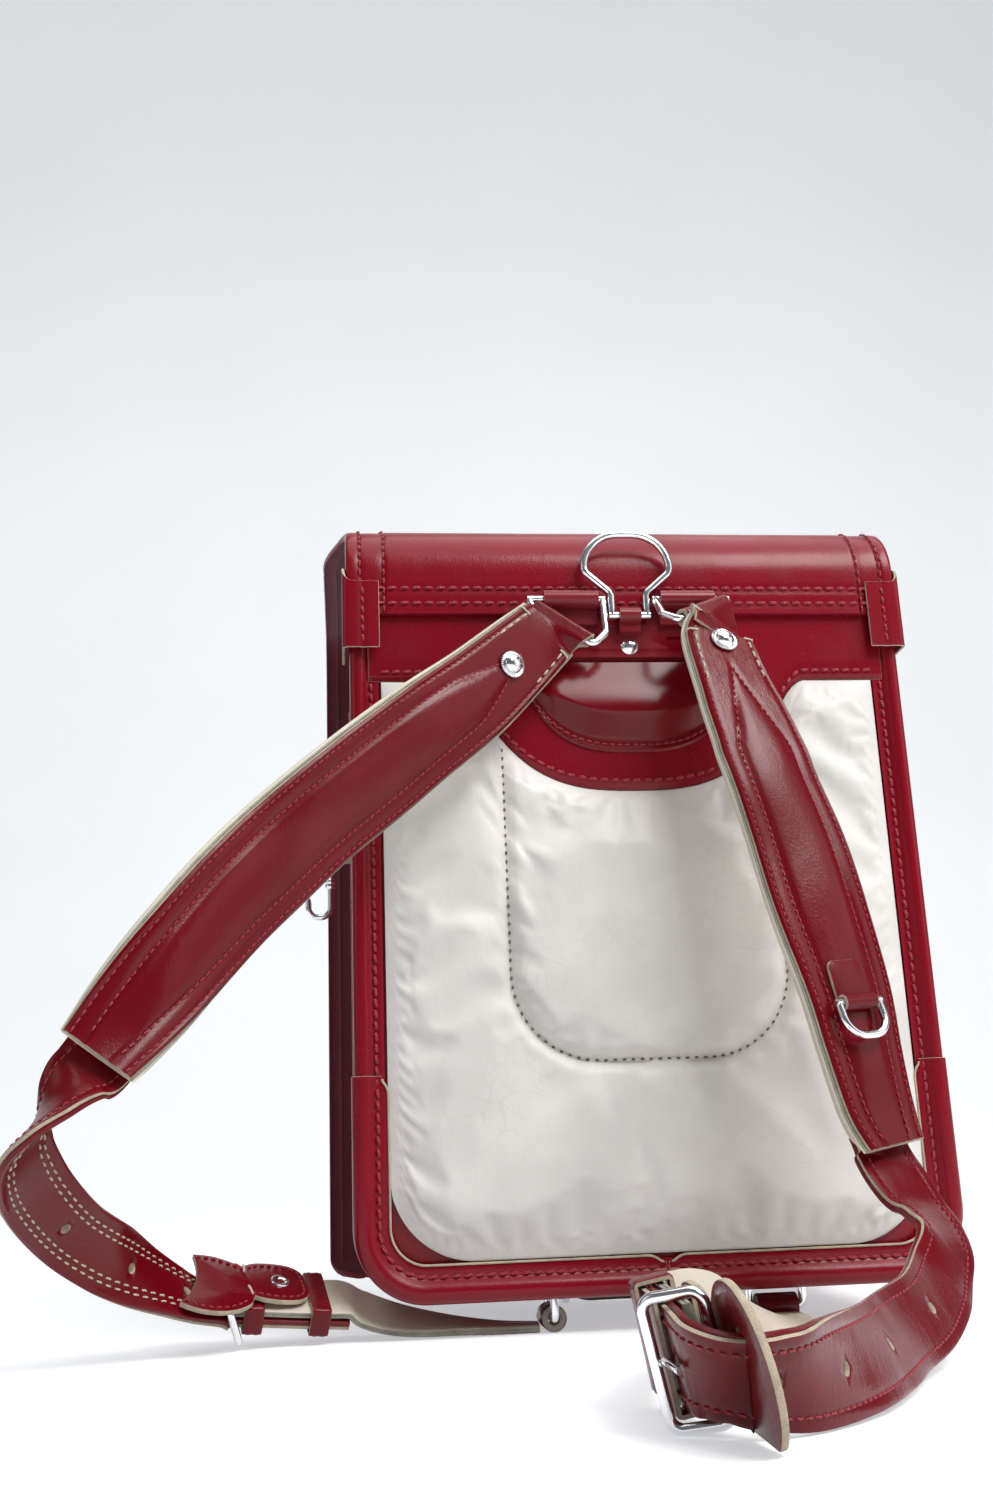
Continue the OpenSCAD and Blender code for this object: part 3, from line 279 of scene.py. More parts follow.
# The U from the top left, round both lower corners, to the top right, drawn in X and Z.
def uPath(half, top, low, bend, step):
    line = [[[-half, top]], arc(-half + bend, low + bend, bend, 180, 270, 24),
            arc(half - bend, low + bend, bend, 270, 360, 24), [[half, top]]]
    return resample(np.concatenate(line), step)


def panelOutline(half, low, top, r, upper=2.0, fine=(14, 5)):
    return np.concatenate([arc(-half + r, low + r, r, 180, 270, fine[0]),
                           arc(half - r, low + r, r, 270, 360, fine[0]),
                           arc(half - upper, top - upper, upper, 0, 90, fine[1]),
                           arc(-half + upper, top - upper, upper, 90, 180, fine[1])])


def gridFaces(n, m, wrapU=False, wrapV=False):
    faces = []
    for i in range(n if wrapU else n - 1):
        for j in range(m if wrapV else m - 1):
            k, l = (i + 1) % n, (j + 1) % m
            faces.append((i * m + j, k * m + j, k * m + l, i * m + l))
    return faces


def endFaces(n, m):
    return [tuple(range(m))[::-1], tuple((n - 1) * m + j for j in range(m))]


def rimOf(n, m):
    return ([(i, 0) for i in range(n)] + [(n - 1, j) for j in range(1, m)]
            + [(i, m - 1) for i in range(n - 2, -1, -1)] + [(0, j) for j in range(m - 2, 0, -1)])


def gridNormals(grid):
    return unit(np.cross(np.gradient(grid, axis=0), np.gradient(grid, axis=1)))


# Outward directions of a wall, m times over, from the inward directions of its line.
def wallNormals(inner, m):
    return np.repeat(upright(-inner, 0)[:, None], m, 1)


def newObject(name, data):
    obj = bpy.data.objects.new(name, data)
    bpy.context.scene.collection.objects.link(obj)
    return obj


def turnOutward(mesh, merge=0.0):
    work = bmesh.new()
    work.from_mesh(mesh)
    if merge:
        bmesh.ops.remove_doubles(work, verts=work.verts, dist=merge)
    bmesh.ops.recalc_face_normals(work, faces=work.faces)
    work.to_mesh(mesh)
    work.free()


class Bundle:
    def __init__(self):
        self.verts, self.faces, self.index, self.mats, self.count = [], [], [], [], 0

    def add(self, verts, faces, mat):
        verts = np.asarray(verts, float).reshape(-1, 3)
        if not isinstance(mat, list):
            mat = [mat] * len(faces)
        for m in mat:
            if m not in self.mats:
                self.mats.append(m)
        self.verts.append(verts)
        self.faces += [tuple(self.count + v for v in f) for f in faces]
        self.index += [self.mats.index(m) for m in mat]
        self.count += len(verts)

    # A closed section carried along a path: the grid is stations by section points.
    def loft(self, grid, mats, closed=False):
        n, m = grid.shape[:2]
        faces = gridFaces(n, m, closed, True)
        perFace = [mats[j % len(mats)] for _ in range(n if closed else n - 1) for j in range(m)]
        if not closed:
            faces += endFaces(n, m)
            perFace += [mats[-1], mats[-1]]
        self.add(grid, faces, perFace)

    # An outer face with an inner face beneath it and a rounded rim.
    def sheet(self, face, thick, outer, inner, rim, normals=None):
        belly, steps = 0.22, (0, 0.15, 0.5, 0.85, 1)
        n, m = face.shape[:2]
        under = face - thick * (gridNormals(face) if normals is None else normals)
        faces = gridFaces(n, m)
        self.add(face, faces, outer)
        self.add(under, [f[::-1] for f in faces], inner)
        around = rimOf(n, m)
        a = np.array([face[q] for q in around])
        b = np.array([under[q] for q in around])
        inside = np.array([face[min(max(i, 1), n - 2), min(max(j, 1), m - 2)] for i, j in around])
        out = unit(a - inside) * np.linalg.norm(a - b, axis=1, keepdims=True)
        rows = [a + (b - a) * s + out * belly * math.sin(math.pi * s) for s in steps]
        self.add(np.stack(rows, 1), gridFaces(len(around), len(steps), True), rim)

    def tube(self, path, radius, mat, sides=20, closed=False):
        path = np.asarray(path, float)
        radius = np.broadcast_to(np.asarray(radius, float), (len(path),))
        ahead = np.roll(path, -1, 0) - np.roll(path, 1, 0) if closed else np.gradient(path, axis=0)
        t = unit(ahead)
        a = np.cross(t[0], (0, 0, 1))
        if np.linalg.norm(a) < 0.05:
            a = np.cross(t[0], (1, 0, 0))
        around = angles(sides)[:, None]
        rows = []
        for p, d, r in zip(path, t, radius):
            a = unit(a - d * np.dot(a, d))
            rows.append(p + r * (np.cos(around) * a + np.sin(around) * np.cross(d, a)))
        self.loft(np.array(rows), [mat], closed)

    # A turned piece; teeth gives the rings that are knurled and how often.
    def ball(self, centre, axis, radii, heights, mat, sides=32, teeth=((), 0)):
        axis = unit(axis)
        side = unit(np.cross(axis, (0.3, 0.9, 0.2)))
        around = angles(sides)[:, None]
        disc = np.cos(around) * side + np.sin(around) * np.cross(axis, side)
        rows = []
        for k, (r, h) in enumerate(zip(radii, heights)):
            ripple = 1 + (0.05 * np.cos(around * teeth[1]) if k in teeth[0] else 0)
            rows.append(np.asarray(centre) + axis * h + r * ripple * disc)
        self.loft(np.array(rows), [mat])

    # Thread along a path: each stitch dips into the leather at both ends.
    def stitches(self, path, normals, mat, pitch, length, radius, slant=0.0, lift=0.1):
        rings = np.array([-0.5, -0.42, -0.2, 0.2, 0.42, 0.5]) * length
        fat = np.array([0.35, 0.8, 1, 1, 0.8, 0.35]) * radius
        rise = np.array([-0.9, -0.1, 0.45, 0.45, -0.1, -0.9]) * radius + lift
        sides = 6
        path = np.asarray(path, float)
        normals = np.broadcast_to(np.asarray(normals, float), path.shape)
        run = runOf(path)
        count = max(1, int(run[-1] // pitch))
        mid = (np.arange(count) + 0.5) * run[-1] / count

        def along(values, where):
            return np.stack([np.interp(where, run, values[:, k]) for k in range(3)], 1)

        n = unit(along(normals, mid))
        t = unit(along(path, mid + 0.5) - along(path, mid - 0.5))
        t = unit(t + np.cross(n, t) * slant)[:, None, None]
        s = np.cross(n[:, None, None], t)
        n = n[:, None, None]
        up = rise[:, None] + fat[:, None] * np.sin(angles(sides))
        wide = fat[:, None] * np.cos(angles(sides))
        verts = (along(path, mid)[:, None, None] + t * rings[None, :, None, None]
                 + n * up[None, ..., None] + s * wide[None, ..., None])
        one = gridFaces(len(rings), sides, False, True) + endFaces(len(rings), sides)
        size = len(rings) * sides
        self.add(verts, [tuple(k * size + v for v in f) for k in range(count) for f in one], mat)

    # A flat piece drawn in X and Z between two depths, with rounded rims.
    def plate(self, outline, near, far, mat, rim, soft=0.8, place=None):
        outline = np.asarray(outline, float)
        ahead, behind = np.roll(outline, -1, 0), np.roll(outline, 1, 0)
        t = unit(ahead - behind)
        inward = np.stack([-t[:, 1], t[:, 0]], 1)
        area = np.sum(outline[:, 0] * ahead[:, 1] - ahead[:, 0] * outline[:, 1])
        inward *= 1 if area > 0 else -1
        soft = min(soft, (far - near) / 2)
        steps = [(soft, near), (soft * 0.3, near + soft * 0.3), (0, near + soft), (0, far - soft),
                 (soft * 0.3, far - soft * 0.3), (soft, far)]
        rings = [upright(outline + inward * inset, depth) for inset, depth in steps]
        if place:
            rings = [place(ring) for ring in rings]
        n = len(outline)
        faces = gridFaces(len(steps), n, False, True) + endFaces(len(steps), n)
        self.add(np.array(rings), faces, [mat] * n + [rim] * (3 * n) + [mat] * (n + 2))

    # A piece takes the place of the node of its own name, unless other nodes are given.
    def make(self, name, body="bag", nodes=None, sharp=38):
        if nodes is None:
            nodes = ["".join("_" + c.lower() if c.isupper() else c for c in name)]
        mesh = bpy.data.meshes.new(name)
        mesh.from_pydata((np.concatenate(self.verts) * mm).tolist(), [], self.faces)
        for m in self.mats:
            mesh.materials.append(m)
        mesh.polygons.foreach_set("material_index", self.index)
        turnOutward(mesh, 0.00002)
        mesh.polygons.foreach_set("use_smooth", [True] * len(mesh.polygons))
        mesh.set_sharp_from_angle(angle=math.radians(sharp))
        obj = newObject(name, mesh)
        if nodes:
            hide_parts(*nodes)
        if body:
            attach(obj, body)
        return obj


# Camera


def makeCamera():
    size = {"place": (-134.1, -646.25, 71.64), "yaw": -6.2, "pitch": 15.7306, "roll": 2.2267,
            "lens": 35.44, "sensor": 36.0}
    yaw, pitch, roll = (math.radians(size[k]) for k in ("yaw", "pitch", "roll"))
    ahead = Vector((-math.sin(yaw) * math.cos(pitch), math.cos(yaw) * math.cos(pitch),
                    math.sin(pitch)))
    level = Vector((math.cos(yaw), math.sin(yaw), 0))
    down = ahead.cross(level)
    right = math.cos(roll) * level + math.sin(roll) * down
    down = math.cos(roll) * down - math.sin(roll) * level
    data = bpy.data.cameras.new("camera")
    data.lens, data.sensor_width, data.clip_start = size["lens"], size["sensor"], 0.01
    cam = newObject("camera", data)
    turn = Matrix((right, -down, -ahead)).transposed().to_4x4()
    cam.matrix_world = Matrix.Translation(Vector(size["place"]) * mm) @ turn
    bpy.context.scene.camera = cam


makeCamera()


# Back


boardSize = {"half": 127.0, "low": 19.0, "roll": 4.0, "bend": 26.0, "top": 329.0}


# A leather tube round a stiff edge with a sewn flange; the path is drawn in X and Z.
def rolledEdge(part, path, y, roll, flange, toward):
    thick, pucker, depth = 1.3, 4.8, 0.22
    turn = np.radians([-70, -100, -130, -160, 180, 160, 140, 120, 100, 80, 62])
    tube = [(math.cos(a) * roll, math.sin(a) * roll) for a in turn]
    rows = []
    for p, n, s in zip(path, leftOf(path), runOf(path)):
        pinch = depth * max(0.0, math.cos(s / pucker * math.tau)) ** 2
        section = [(roll * 0.66 + pinch, roll * 0.66), (roll + 0.35, thick + 0.1 - pinch),
                   (roll + 1.6, thick - 0.25 - pinch), (roll + 2.8, thick + 0.05),
                   (roll + flange, thick), (roll + flange + 0.25, thick * 0.5),
                   (roll + flange, 0.0), (roll * 0.3, 0.0)] + tube
        rows.append([(p[0] + n[0] * u, y + toward * v, p[1] + n[1] * u) for u, v in section])
    part.loft(np.array(rows), [red])


def backEdge():
    part = Bundle()
    path = uPath(boardSize["half"], 328, boardSize["low"], boardSize["bend"], 1.2)
    rolledEdge(part, path, 0, boardSize["roll"], 5.2, -1)
    part.stitches(upright(path + leftOf(path) * 5.8, -1.25), (0, -1, 0), redThread, pitch=4.8,
                  length=4.0, radius=0.75, slant=0.12)
    part.make("backRolledEdge")


backEdge()


# Ivory cushion, its rim cut by the half-round dip of the yoke


padSize = {"half": 116.5, "low": 30.5, "corner": 36.0, "crown": 12.0, "top": 285.0,
           "dipHigh": 53.0, "dipHalf": 76.0, "shoulder": 7, "cloth": 1.2}
channelSize = {"deep": 4.2, "half": 62.0, "low": 80.0, "bend": 38.0}


# The dip is averaged over a few millimetres, so its shoulders are round.
def dip(x):
    total = 0
    shifts = range(-padSize["shoulder"], padSize["shoulder"] + 1)
    for shift in shifts:
        u = np.clip(np.abs(np.asarray(x) + shift) / padSize["dipHalf"], 0, 1)
        total = total + np.maximum(0, 1 - u ** 3) ** 0.8
    return padSize["dipHigh"] * total / len(shifts)


def cushionLow(x):
    r = padSize["corner"]
    over = np.maximum(0, np.abs(x) - (padSize["half"] - r))
    return padSize["low"] + r - np.sqrt(np.maximum(0, r ** 2 - over ** 2))


def cushionHigh(x):
    return padSize["top"] - dip(x) - 0.6


# The centre of the channel's lower corners: half width and height.
def channelTurn():
    r = channelSize["bend"]
    return channelSize["half"] - r, padSize["low"] + channelSize["low"] + r


def toChannel(x, z):
    r, (xc, zc) = channelSize["bend"], channelTurn()
    side = np.abs(np.abs(x) - channelSize["half"])
    turn = np.abs(np.hypot(np.abs(x) - xc, z - zc) - r)
    return np.where(z > zc, side, np.where(np.abs(x) > xc, turn, np.abs(z - (zc - r))))


def channelPath():
    w, r, (xc, zc) = channelSize["half"], channelSize["bend"], channelTurn()
    high = cushionHigh(np.array([w]))[0] - 4
    return resample(np.concatenate([[[-w, high]], arc(-xc, zc, r, 180, 270, 16),
                                    arc(xc, zc, r, 270, 360, 16), [[w, high]]]), 2.0)


def swell(d):
    return 1 - (1 - np.clip(d / 26, 0, 1)) ** 2.4


# Columns crowd towards both sides, rows towards the top and the bottom.
def cushionGrid(columns, rows):
    wide = math.pi / 2 * 0.86
    across = np.sin(np.linspace(-1, 1, columns) * wide) / math.sin(wide) * padSize["half"]
    s = np.linspace(0, 1, rows)
    s = s * 0.7 + 0.3 * (3 * s * s - 2 * s ** 3)
    x = np.repeat(across[:, None], rows, 1)
    low, high = cushionLow(x), cushionHigh(x)
    z = low + (high - low) * s[None, :]
    return x, z, swell(padSize["half"] - np.abs(x)) * swell(z - low) * swell(high - z)


# The cushion's cloth is blown up from behind while its rim and its channel are held.
def inflate(obj, hold):
    least, frames = 0.02, 20
    pin = obj.vertex_groups.new(name="pin")
    for k, share in enumerate(hold):
        if share > least:
            pin.add([k], float(share), "REPLACE")
    pin.add(list(range(len(hold), 2 * len(hold))), 1.0, "REPLACE")
    cloth = obj.modifiers.new("cloth", "CLOTH")
    put = cloth.settings
    put.use_pressure, put.uniform_pressure_force, put.quality = True, 4.0, 6
    put.shrink_min = -0.018
    put.vertex_group_mass, put.pin_stiffness = "pin", 8.0
    put.tension_stiffness = put.compression_stiffness = 25.0
    put.bending_stiffness, put.effector_weights.gravity = 6.0, 0.0
    cloth.collision_settings.use_collision = False
    for k in range(frames):
        bpy.context.scene.frame_set(k + 1)
    done = obj.evaluated_get(bpy.context.evaluated_depsgraph_get()).to_mesh()
    flat = np.zeros(len(done.vertices) * 3)
    done.vertices.foreach_get("co", flat)
    bpy.context.scene.frame_set(1)
    return flat.reshape(-1, 3) / mm


def cushion():
    size = {"flat": 2, "rise": 7, "cap": 3.0, "over": 2.5, "hold": 2.2, "groove": 3.0,
            "fade": 20, "columns": 75, "rows": 77}
    x, z, rim = cushionGrid(size["columns"], size["rows"])
    face = np.stack([x, -(size["flat"] + size["rise"] * rim), z], 2)
    n, m = x.shape
    floor = np.stack([x, np.full_like(x, -0.4), z], 2)
    verts = np.concatenate([face.reshape(-1, 3), floor.reshape(-1, 3)])
    faces = gridFaces(n, m) + [tuple(v + n * m for v in f[::-1]) for f in gridFaces(n, m)]
    ids = [i * m + j for i, j in rimOf(n, m)]
    faces += [(a, b, b + n * m, a + n * m) for a, b in zip(ids, ids[1:] + ids[:1])]
    mesh = bpy.data.meshes.new("padCloth")
    mesh.from_pydata((verts * mm).tolist(), [], faces)
    turnOutward(mesh)
    obj = newObject("padCloth", mesh)
    hold = np.clip(1.15 - rim * 1.6, 0, 1)
    hold = np.maximum(hold, np.where(toChannel(x, z) < size["hold"], 1.0, 0.0)).reshape(-1)
    verts = inflate(obj, hold)
    bpy.data.objects.remove(obj)
    moved = verts[:n * m].reshape(n, m, 3) - face
    far = np.linalg.norm(moved, axis=2, keepdims=True)
    face = face + moved * np.minimum(1, size["cap"] / np.maximum(far, 1e-6))
    deepest = size["flat"] + padSize["crown"] * rim + size["over"]
    face[..., 1] = np.maximum(face[..., 1], -deepest)
    fine = subdivide(face)
    x, z = fine[..., 0], fine[..., 2]
    hem = np.minimum(np.minimum(padSize["half"] - np.abs(x), z - cushionLow(x)), cushionHigh(x) - z)
    groove = channelSize["deep"] * bell(toChannel(x, z), 0, size["groove"])
    fine[..., 1] += groove * ease(hem, 0, size["fade"])
    fine[..., 1] = np.minimum(fine[..., 1], -0.5)
    part = Bundle()
    part.sheet(fine, padSize["cloth"], ivory, ivory, grey)
    seam = channelPath()
    part.stitches(upright(seam, depthAt(fine, seam) - 0.1), (0, -1, 0), darkThread, pitch=4.0,
                  length=1.7, radius=0.42, lift=0.15)
    pad = part.make("backCushion", sharp=60)
    print("cushion", len(pad.data.vertices))


# One level of smooth subdivision of a grid of points.
def subdivide(grid):
    for axis in (0, 1):
        line = np.swapaxes(grid, 0, axis)
        before = np.concatenate([2 * line[:1] - line[1:2], line[:-1]])
        after = np.concatenate([line[1:], 2 * line[-1:] - line[-2:-1]])
        out = np.empty((2 * len(line) - 1,) + line.shape[1:])
        out[::2] = line
        out[1::2] = 0.5625 * (line[:-1] + line[1:]) - 0.0625 * (before[:-1] + after[1:])
        grid = np.swapaxes(out, 0, axis)
    return grid


# The Y of a grid under points in X and Z, from its four nearest points.
def depthAt(grid, xz):
    flat = grid.reshape(-1, 3)
    out = []
    for x, z in xz:
        away = np.hypot(flat[:, 0] - x, flat[:, 2] - z)
        near = np.argsort(away)[:4]
        share = 1 / (away[near] + 0.05)
        out.append(np.sum(flat[near, 1] * share) / np.sum(share))
    return np.array(out)


cushion()


def yoke():
    size = {"half": 122.2, "low": 1.5, "high": 1.5, "sew": 4.2, "sewHalf": 118, "sewn": -2.75,
            "groove": 0.45, "thick": 1.3}
    wide = padSize["dipHalf"] + 6
    x = np.unique(np.concatenate([np.linspace(-size["half"], size["half"], 140),
                                  np.linspace(-wide, wide, 90)]))
    low = padSize["top"] - dip(x)
    rows = []
    for s in np.concatenate([[0, 0.01, 0.03, 0.06, 0.1, 0.15], np.linspace(0.22, 1, 14)]):
        z = low + (boardSize["top"] - low) * s
        drop = z - low
        high = size["low"] + size["high"] * ease(drop, 0, 2.4)
        high = high - size["groove"] * bell(drop, size["sew"], 1.1)
        rows.append(np.stack([x, -high, z], 1))
    part = Bundle()
    part.sheet(np.stack(rows, 1), size["thick"], red, red, cream)
    row = resample(np.stack([x, low + size["sew"]], 1), 1.0)
    row = row[np.abs(row[:, 0]) < size["sewHalf"]]
    part.stitches(upright(row, size["sewn"]), (0, -1, 0), redThread, pitch=5.0, length=4.0,
                  radius=0.78, slant=0.12)
    part.make("yoke")


yoke()


# A moulded half disc that rises to a hump under its straight upper edge.
def backRest():
    size = {"half": 54.0, "low": 249.5, "top": 292.5, "face": 3.5, "hump": 7.6, "blend": 0.7,
            "flat": 6.0, "slope": 11.0, "back": 24.0, "sew": 3.2, "sewn": -4.35, "ends": 6}
    u = np.linspace(-1, 1, 97)
    low = size["top"] - (size["top"] - size["low"]) * np.maximum(0, 1 - np.abs(u) ** 3) ** 0.7
    side = (1 - np.abs(u)) * size["half"]
    rows = []
    for s in np.linspace(0, 1, 40):
        z = low + (size["top"] - low) * s
        edge = np.minimum(z - low, side * 0.8 + 2)
        rise = size["hump"] * np.clip((edge - size["flat"]) / size["slope"], 0, 1)
        fall = size["hump"] * np.clip((size["top"] + 1 - z) / size["back"], 0, 1) + 0.8
        k = size["blend"]
        hump = np.maximum(0, -k * np.log(np.exp(-rise / k) + np.exp(-fall / k)))
        lift = ease(z - low, 0, 1.2) + hump - 0.35 * bell(z - low, size["sew"], 0.9)
        rows.append(np.stack([u * size["half"], -(size["face"] + lift), z], 1))
    part = Bundle()
    part.sheet(np.stack(rows, 1), 1.0, mouldRed, mouldRed, cream)
    row = np.stack([u * size["half"], low + size["sew"]], 1)[size["ends"]:-size["ends"]]
    part.stitches(upright(resample(row, 1.0), size["sewn"]), (0, -1, 0), redThread, pitch=3.6,
                  length=2.8, radius=0.5, slant=0.1)
    part.make("backRest")


backRest()


def cornerPatch(side):
    size = {"top": 107.0, "split": 0.35, "wide": 10.6, "round": 8, "wrap": 5.1, "sew": 6.1,
            "turn": (188, 52, 15), "sewn": -2.2, "thick": 0.85}
    full = uPath(boardSize["half"], size["top"], boardSize["low"], boardSize["bend"], 1.2)
    path = full[side * full[:, 0] >= size["split"]][::-side]
    run = runOf(path)
    left = np.minimum(run, run[-1] - run)
    r = size["round"]
    curve = r - np.sqrt(np.maximum(0, r ** 2 - (r - left) ** 2))
    width = size["wide"] - np.where(left < r, curve, 0)
    inner = leftOf(path) * -side
    wrap = [(math.cos(a) * size["wrap"], math.sin(a) * size["wrap"])
            for a in np.radians(np.linspace(*size["turn"]))]
    rows = []
    for p, q, w in zip(path, inner, width):
        section = wrap + [(4.4, 2.9), (5.2, 2.25), (6.2, 2.1), (7.2, 2.35),
                          (max(7.6, w * 0.86), 2.3), (max(8.0, w), 2.05)]
        rows.append([(p[0] + q[0] * u, -v, p[1] + q[1] * u) for u, v in section])
    part = Bundle()
    grid = np.array(rows)
    part.sheet(grid, size["thick"], red, red, cream, normals=gridNormals(grid) * -side)
    part.tube(grid[1:-1, -1] + np.array([0, -0.45, 0]), 0.5, cream, 8)
    seam = path + inner * size["sew"]
    part.stitches(upright(seam[4:-3], size["sewn"]), (0, -1, 0), redThread, pitch=4.8,
                  length=4.0, radius=0.75, slant=-0.12 * side)
    name = sideNames[side]
    part.make(name + "CornerPatch")


cornerPatch(-1)
cornerPatch(1)


def topCap(side):
    size = {"outer": 134.2, "face": -8.1, "bend": 3.0, "low": 300, "high": 40.5, "notch": 8,
            "sew": 9.5, "sewn": (-7.75, 302, 331), "thick": 1.3, "fall": (0.52, 0.3)}
    outer, face, r = size["outer"], size["face"], size["bend"]
    line = [[[outer - 17, face + 0.1], [outer - 12, face], [outer - 6, face - 0.1]],
            arc(outer - r, face + r, r, -90, 0, 7), [[outer, 2.0], [outer, 9.0], [outer, 17.8]]]
    line = resample(np.concatenate(line), 1.2)
    share = np.linspace(0, 1, 26)
    rows = []
    for (x, y), run in zip(line, np.linspace(0, 1, len(line))):
        crease = 0.4 * bell(x, outer - size["sew"], 1.2)
        high = size["high"] - size["notch"] * ease(run, *size["fall"])
        rows.append([(side * x, y + crease, size["low"] + v * high) for v in share])
    part = Bundle()
    grid = np.array(rows)
    part.sheet(grid, size["thick"], red, red, cream, normals=gridNormals(grid) * side)
    y, *ends = size["sewn"]
    column = np.array([[side * (outer - size["sew"]), y, z] for z in range(*ends)])
    part.stitches(column, (0, -1, 0), redThread, pitch=4.6, length=3.7, radius=0.65, slant=0.12)
    name = sideNames[side]
    part.make(name + "TopCap")


topCap(-1)
topCap(1)
print("back done")


# Body


def gusset(name, half, near, far, top, dish):
    size = {"low": 20.0, "bend": 25.0, "skin": 0.25, "thick": 2.0, "columns": 19}
    path = uPath(half, top, size["low"], size["bend"], 4.0)
    inner = leftOf(path)

    def sunk(s, lift=0.0):
        return path + inner * (size["skin"] + dish * math.sin(math.pi * s) ** 0.6 - lift)

    rows = [upright(sunk(s), near + 0.3 + (far - near - 0.6) * s)
            for s in np.linspace(0, 1, size["columns"])]
    part = Bundle()
    part.sheet(np.stack(rows, 1), size["thick"], red, lining, red,
               normals=wallNormals(inner, size["columns"]))
    for s in (0.06, 0.94):
        row = upright(sunk(s, 0.05), near + (far - near) * s)
        part.stitches(row, upright(-inner, 0), redThread, pitch=4.6, length=3.4, radius=0.45)
    part.make(name)


gusset("mainGusset", 126.0, 4.0, 124.0, 311.0, 1.2)
gusset("smallGusset", 123.0, 127.0, 159.0, 297.0, 1.0)


def boards():
    size = {"edge": (127.8, 309, 18.2, 26.8), "edgeY": 125.5, "roll": 3.2, "flange": 3.4,
            "bend": 25, "seam": (118, 292, 25, 22), "sewn": 161.35}
    edge = Bundle()
    rolledEdge(edge, uPath(*size["edge"], 1.6), size["edgeY"], size["roll"], size["flange"], 1)
    edge.make("frontRolledEdge")
    # Half width, lower and upper end, near and far face.
    for name, mat, half, low, top, near, far in (
            ("frontBoard", lining, 127.0, 19.0, 311.0, 124.1, 126.9),
            ("backBoard", red, 126.4, 19.6, 329.5, 0.2, 3.9),
            ("smallFront", red, 122.8, 20.2, 297.0, 159.1, 161.4)):
        part = Bundle()
        part.plate(panelOutline(half, low, top, size["bend"]), near, far, mat, red)
        if name == "smallFront":
            part.stitches(upright(uPath(*size["seam"], 2.0), size["sewn"]), (0, 1, 0), redThread,
                          pitch=4.6, length=3.4, radius=0.5)
        part.make(name)


boards()


def pocket():
    size = {"half": 104.0, "low": 61.0, "top": 231.0, "bend": 16, "near": 170.0, "far": 171.4,
            "sew": 3, "wall": 1.2}
    half, low, top, bend = (size[k] for k in ("half", "low", "top", "bend"))
    part = Bundle()
    part.plate(panelOutline(half, low, top, bend, 1.5), size["near"], size["far"], red, cream, 0.5)
    path = uPath(half, top, low, bend, 3.0)
    inner = leftOf(path)
    folds = ((161.6, 0.1), (163.0, 0.3), (166.0, 0.9), (169.0, 0.4), (170.6, 0.2))
    wall = np.stack([upright(path + inner * sink, y) for y, sink in folds], 1)
    part.sheet(wall, size["wall"], red, lining, red, normals=wallNormals(inner, len(folds)))
    sew = size["sew"]
    row = uPath(half - sew, top - 2, low + sew, bend - 2, 2.0)
    part.stitches(upright(row, size["far"]), (0, 1, 0), redThread, pitch=4.2, length=3.2,
                  radius=0.45)
    part.make("frontPocket")


pocket()
print("body done")


# Flap


flapSize = {"back": -6.2, "low": 317.0, "top": 368.0, "bend": 30.0, "front": 182.5, "lip": 27.0,
            "lipBend": 16.0, "root": 132.0, "half": 143.0, "corner": 12, "thick": 3.3,
            "seams": (5.0, 12.5), "sides": (6.3, 17.4)}


def flapProfile():
    r, lip = flapSize["bend"], flapSize["lipBend"]
    back, front, turn = flapSize["back"], flapSize["front"], flapSize["top"] - flapSize["bend"]
    line = [[[back, flapSize["low"]]], arc(back + r, turn, r, 180, 90, 20),
            arc(front - r, turn, r, 90, 0, 20), arc(front - lip, flapSize["lip"], lip, 0, -60, 10)]
    return resample(np.concatenate(line), 2.0)


# The face near both side edges: a rolled rim, a step and a sewn groove.
def flapRim(d):
    size = {"roll": 0.9, "half": 3.1, "step": 0.55, "stepAt": (6.0, 7.4), "groove": 0.35,
            "grooveAt": (17.4, 0.9), "panelAt": (17.2, 19.0)}
    roll, groove = size["roll"], size["groove"]
    return (roll * np.sqrt(np.clip(1 - ((d - size["half"]) / size["half"]) ** 2, 0, 1)) - roll
            + size["step"] * ease(d, *size["stepAt"]) - groove * bell(d, *size["grooveAt"])
            + groove * ease(d, *size["panelAt"]))


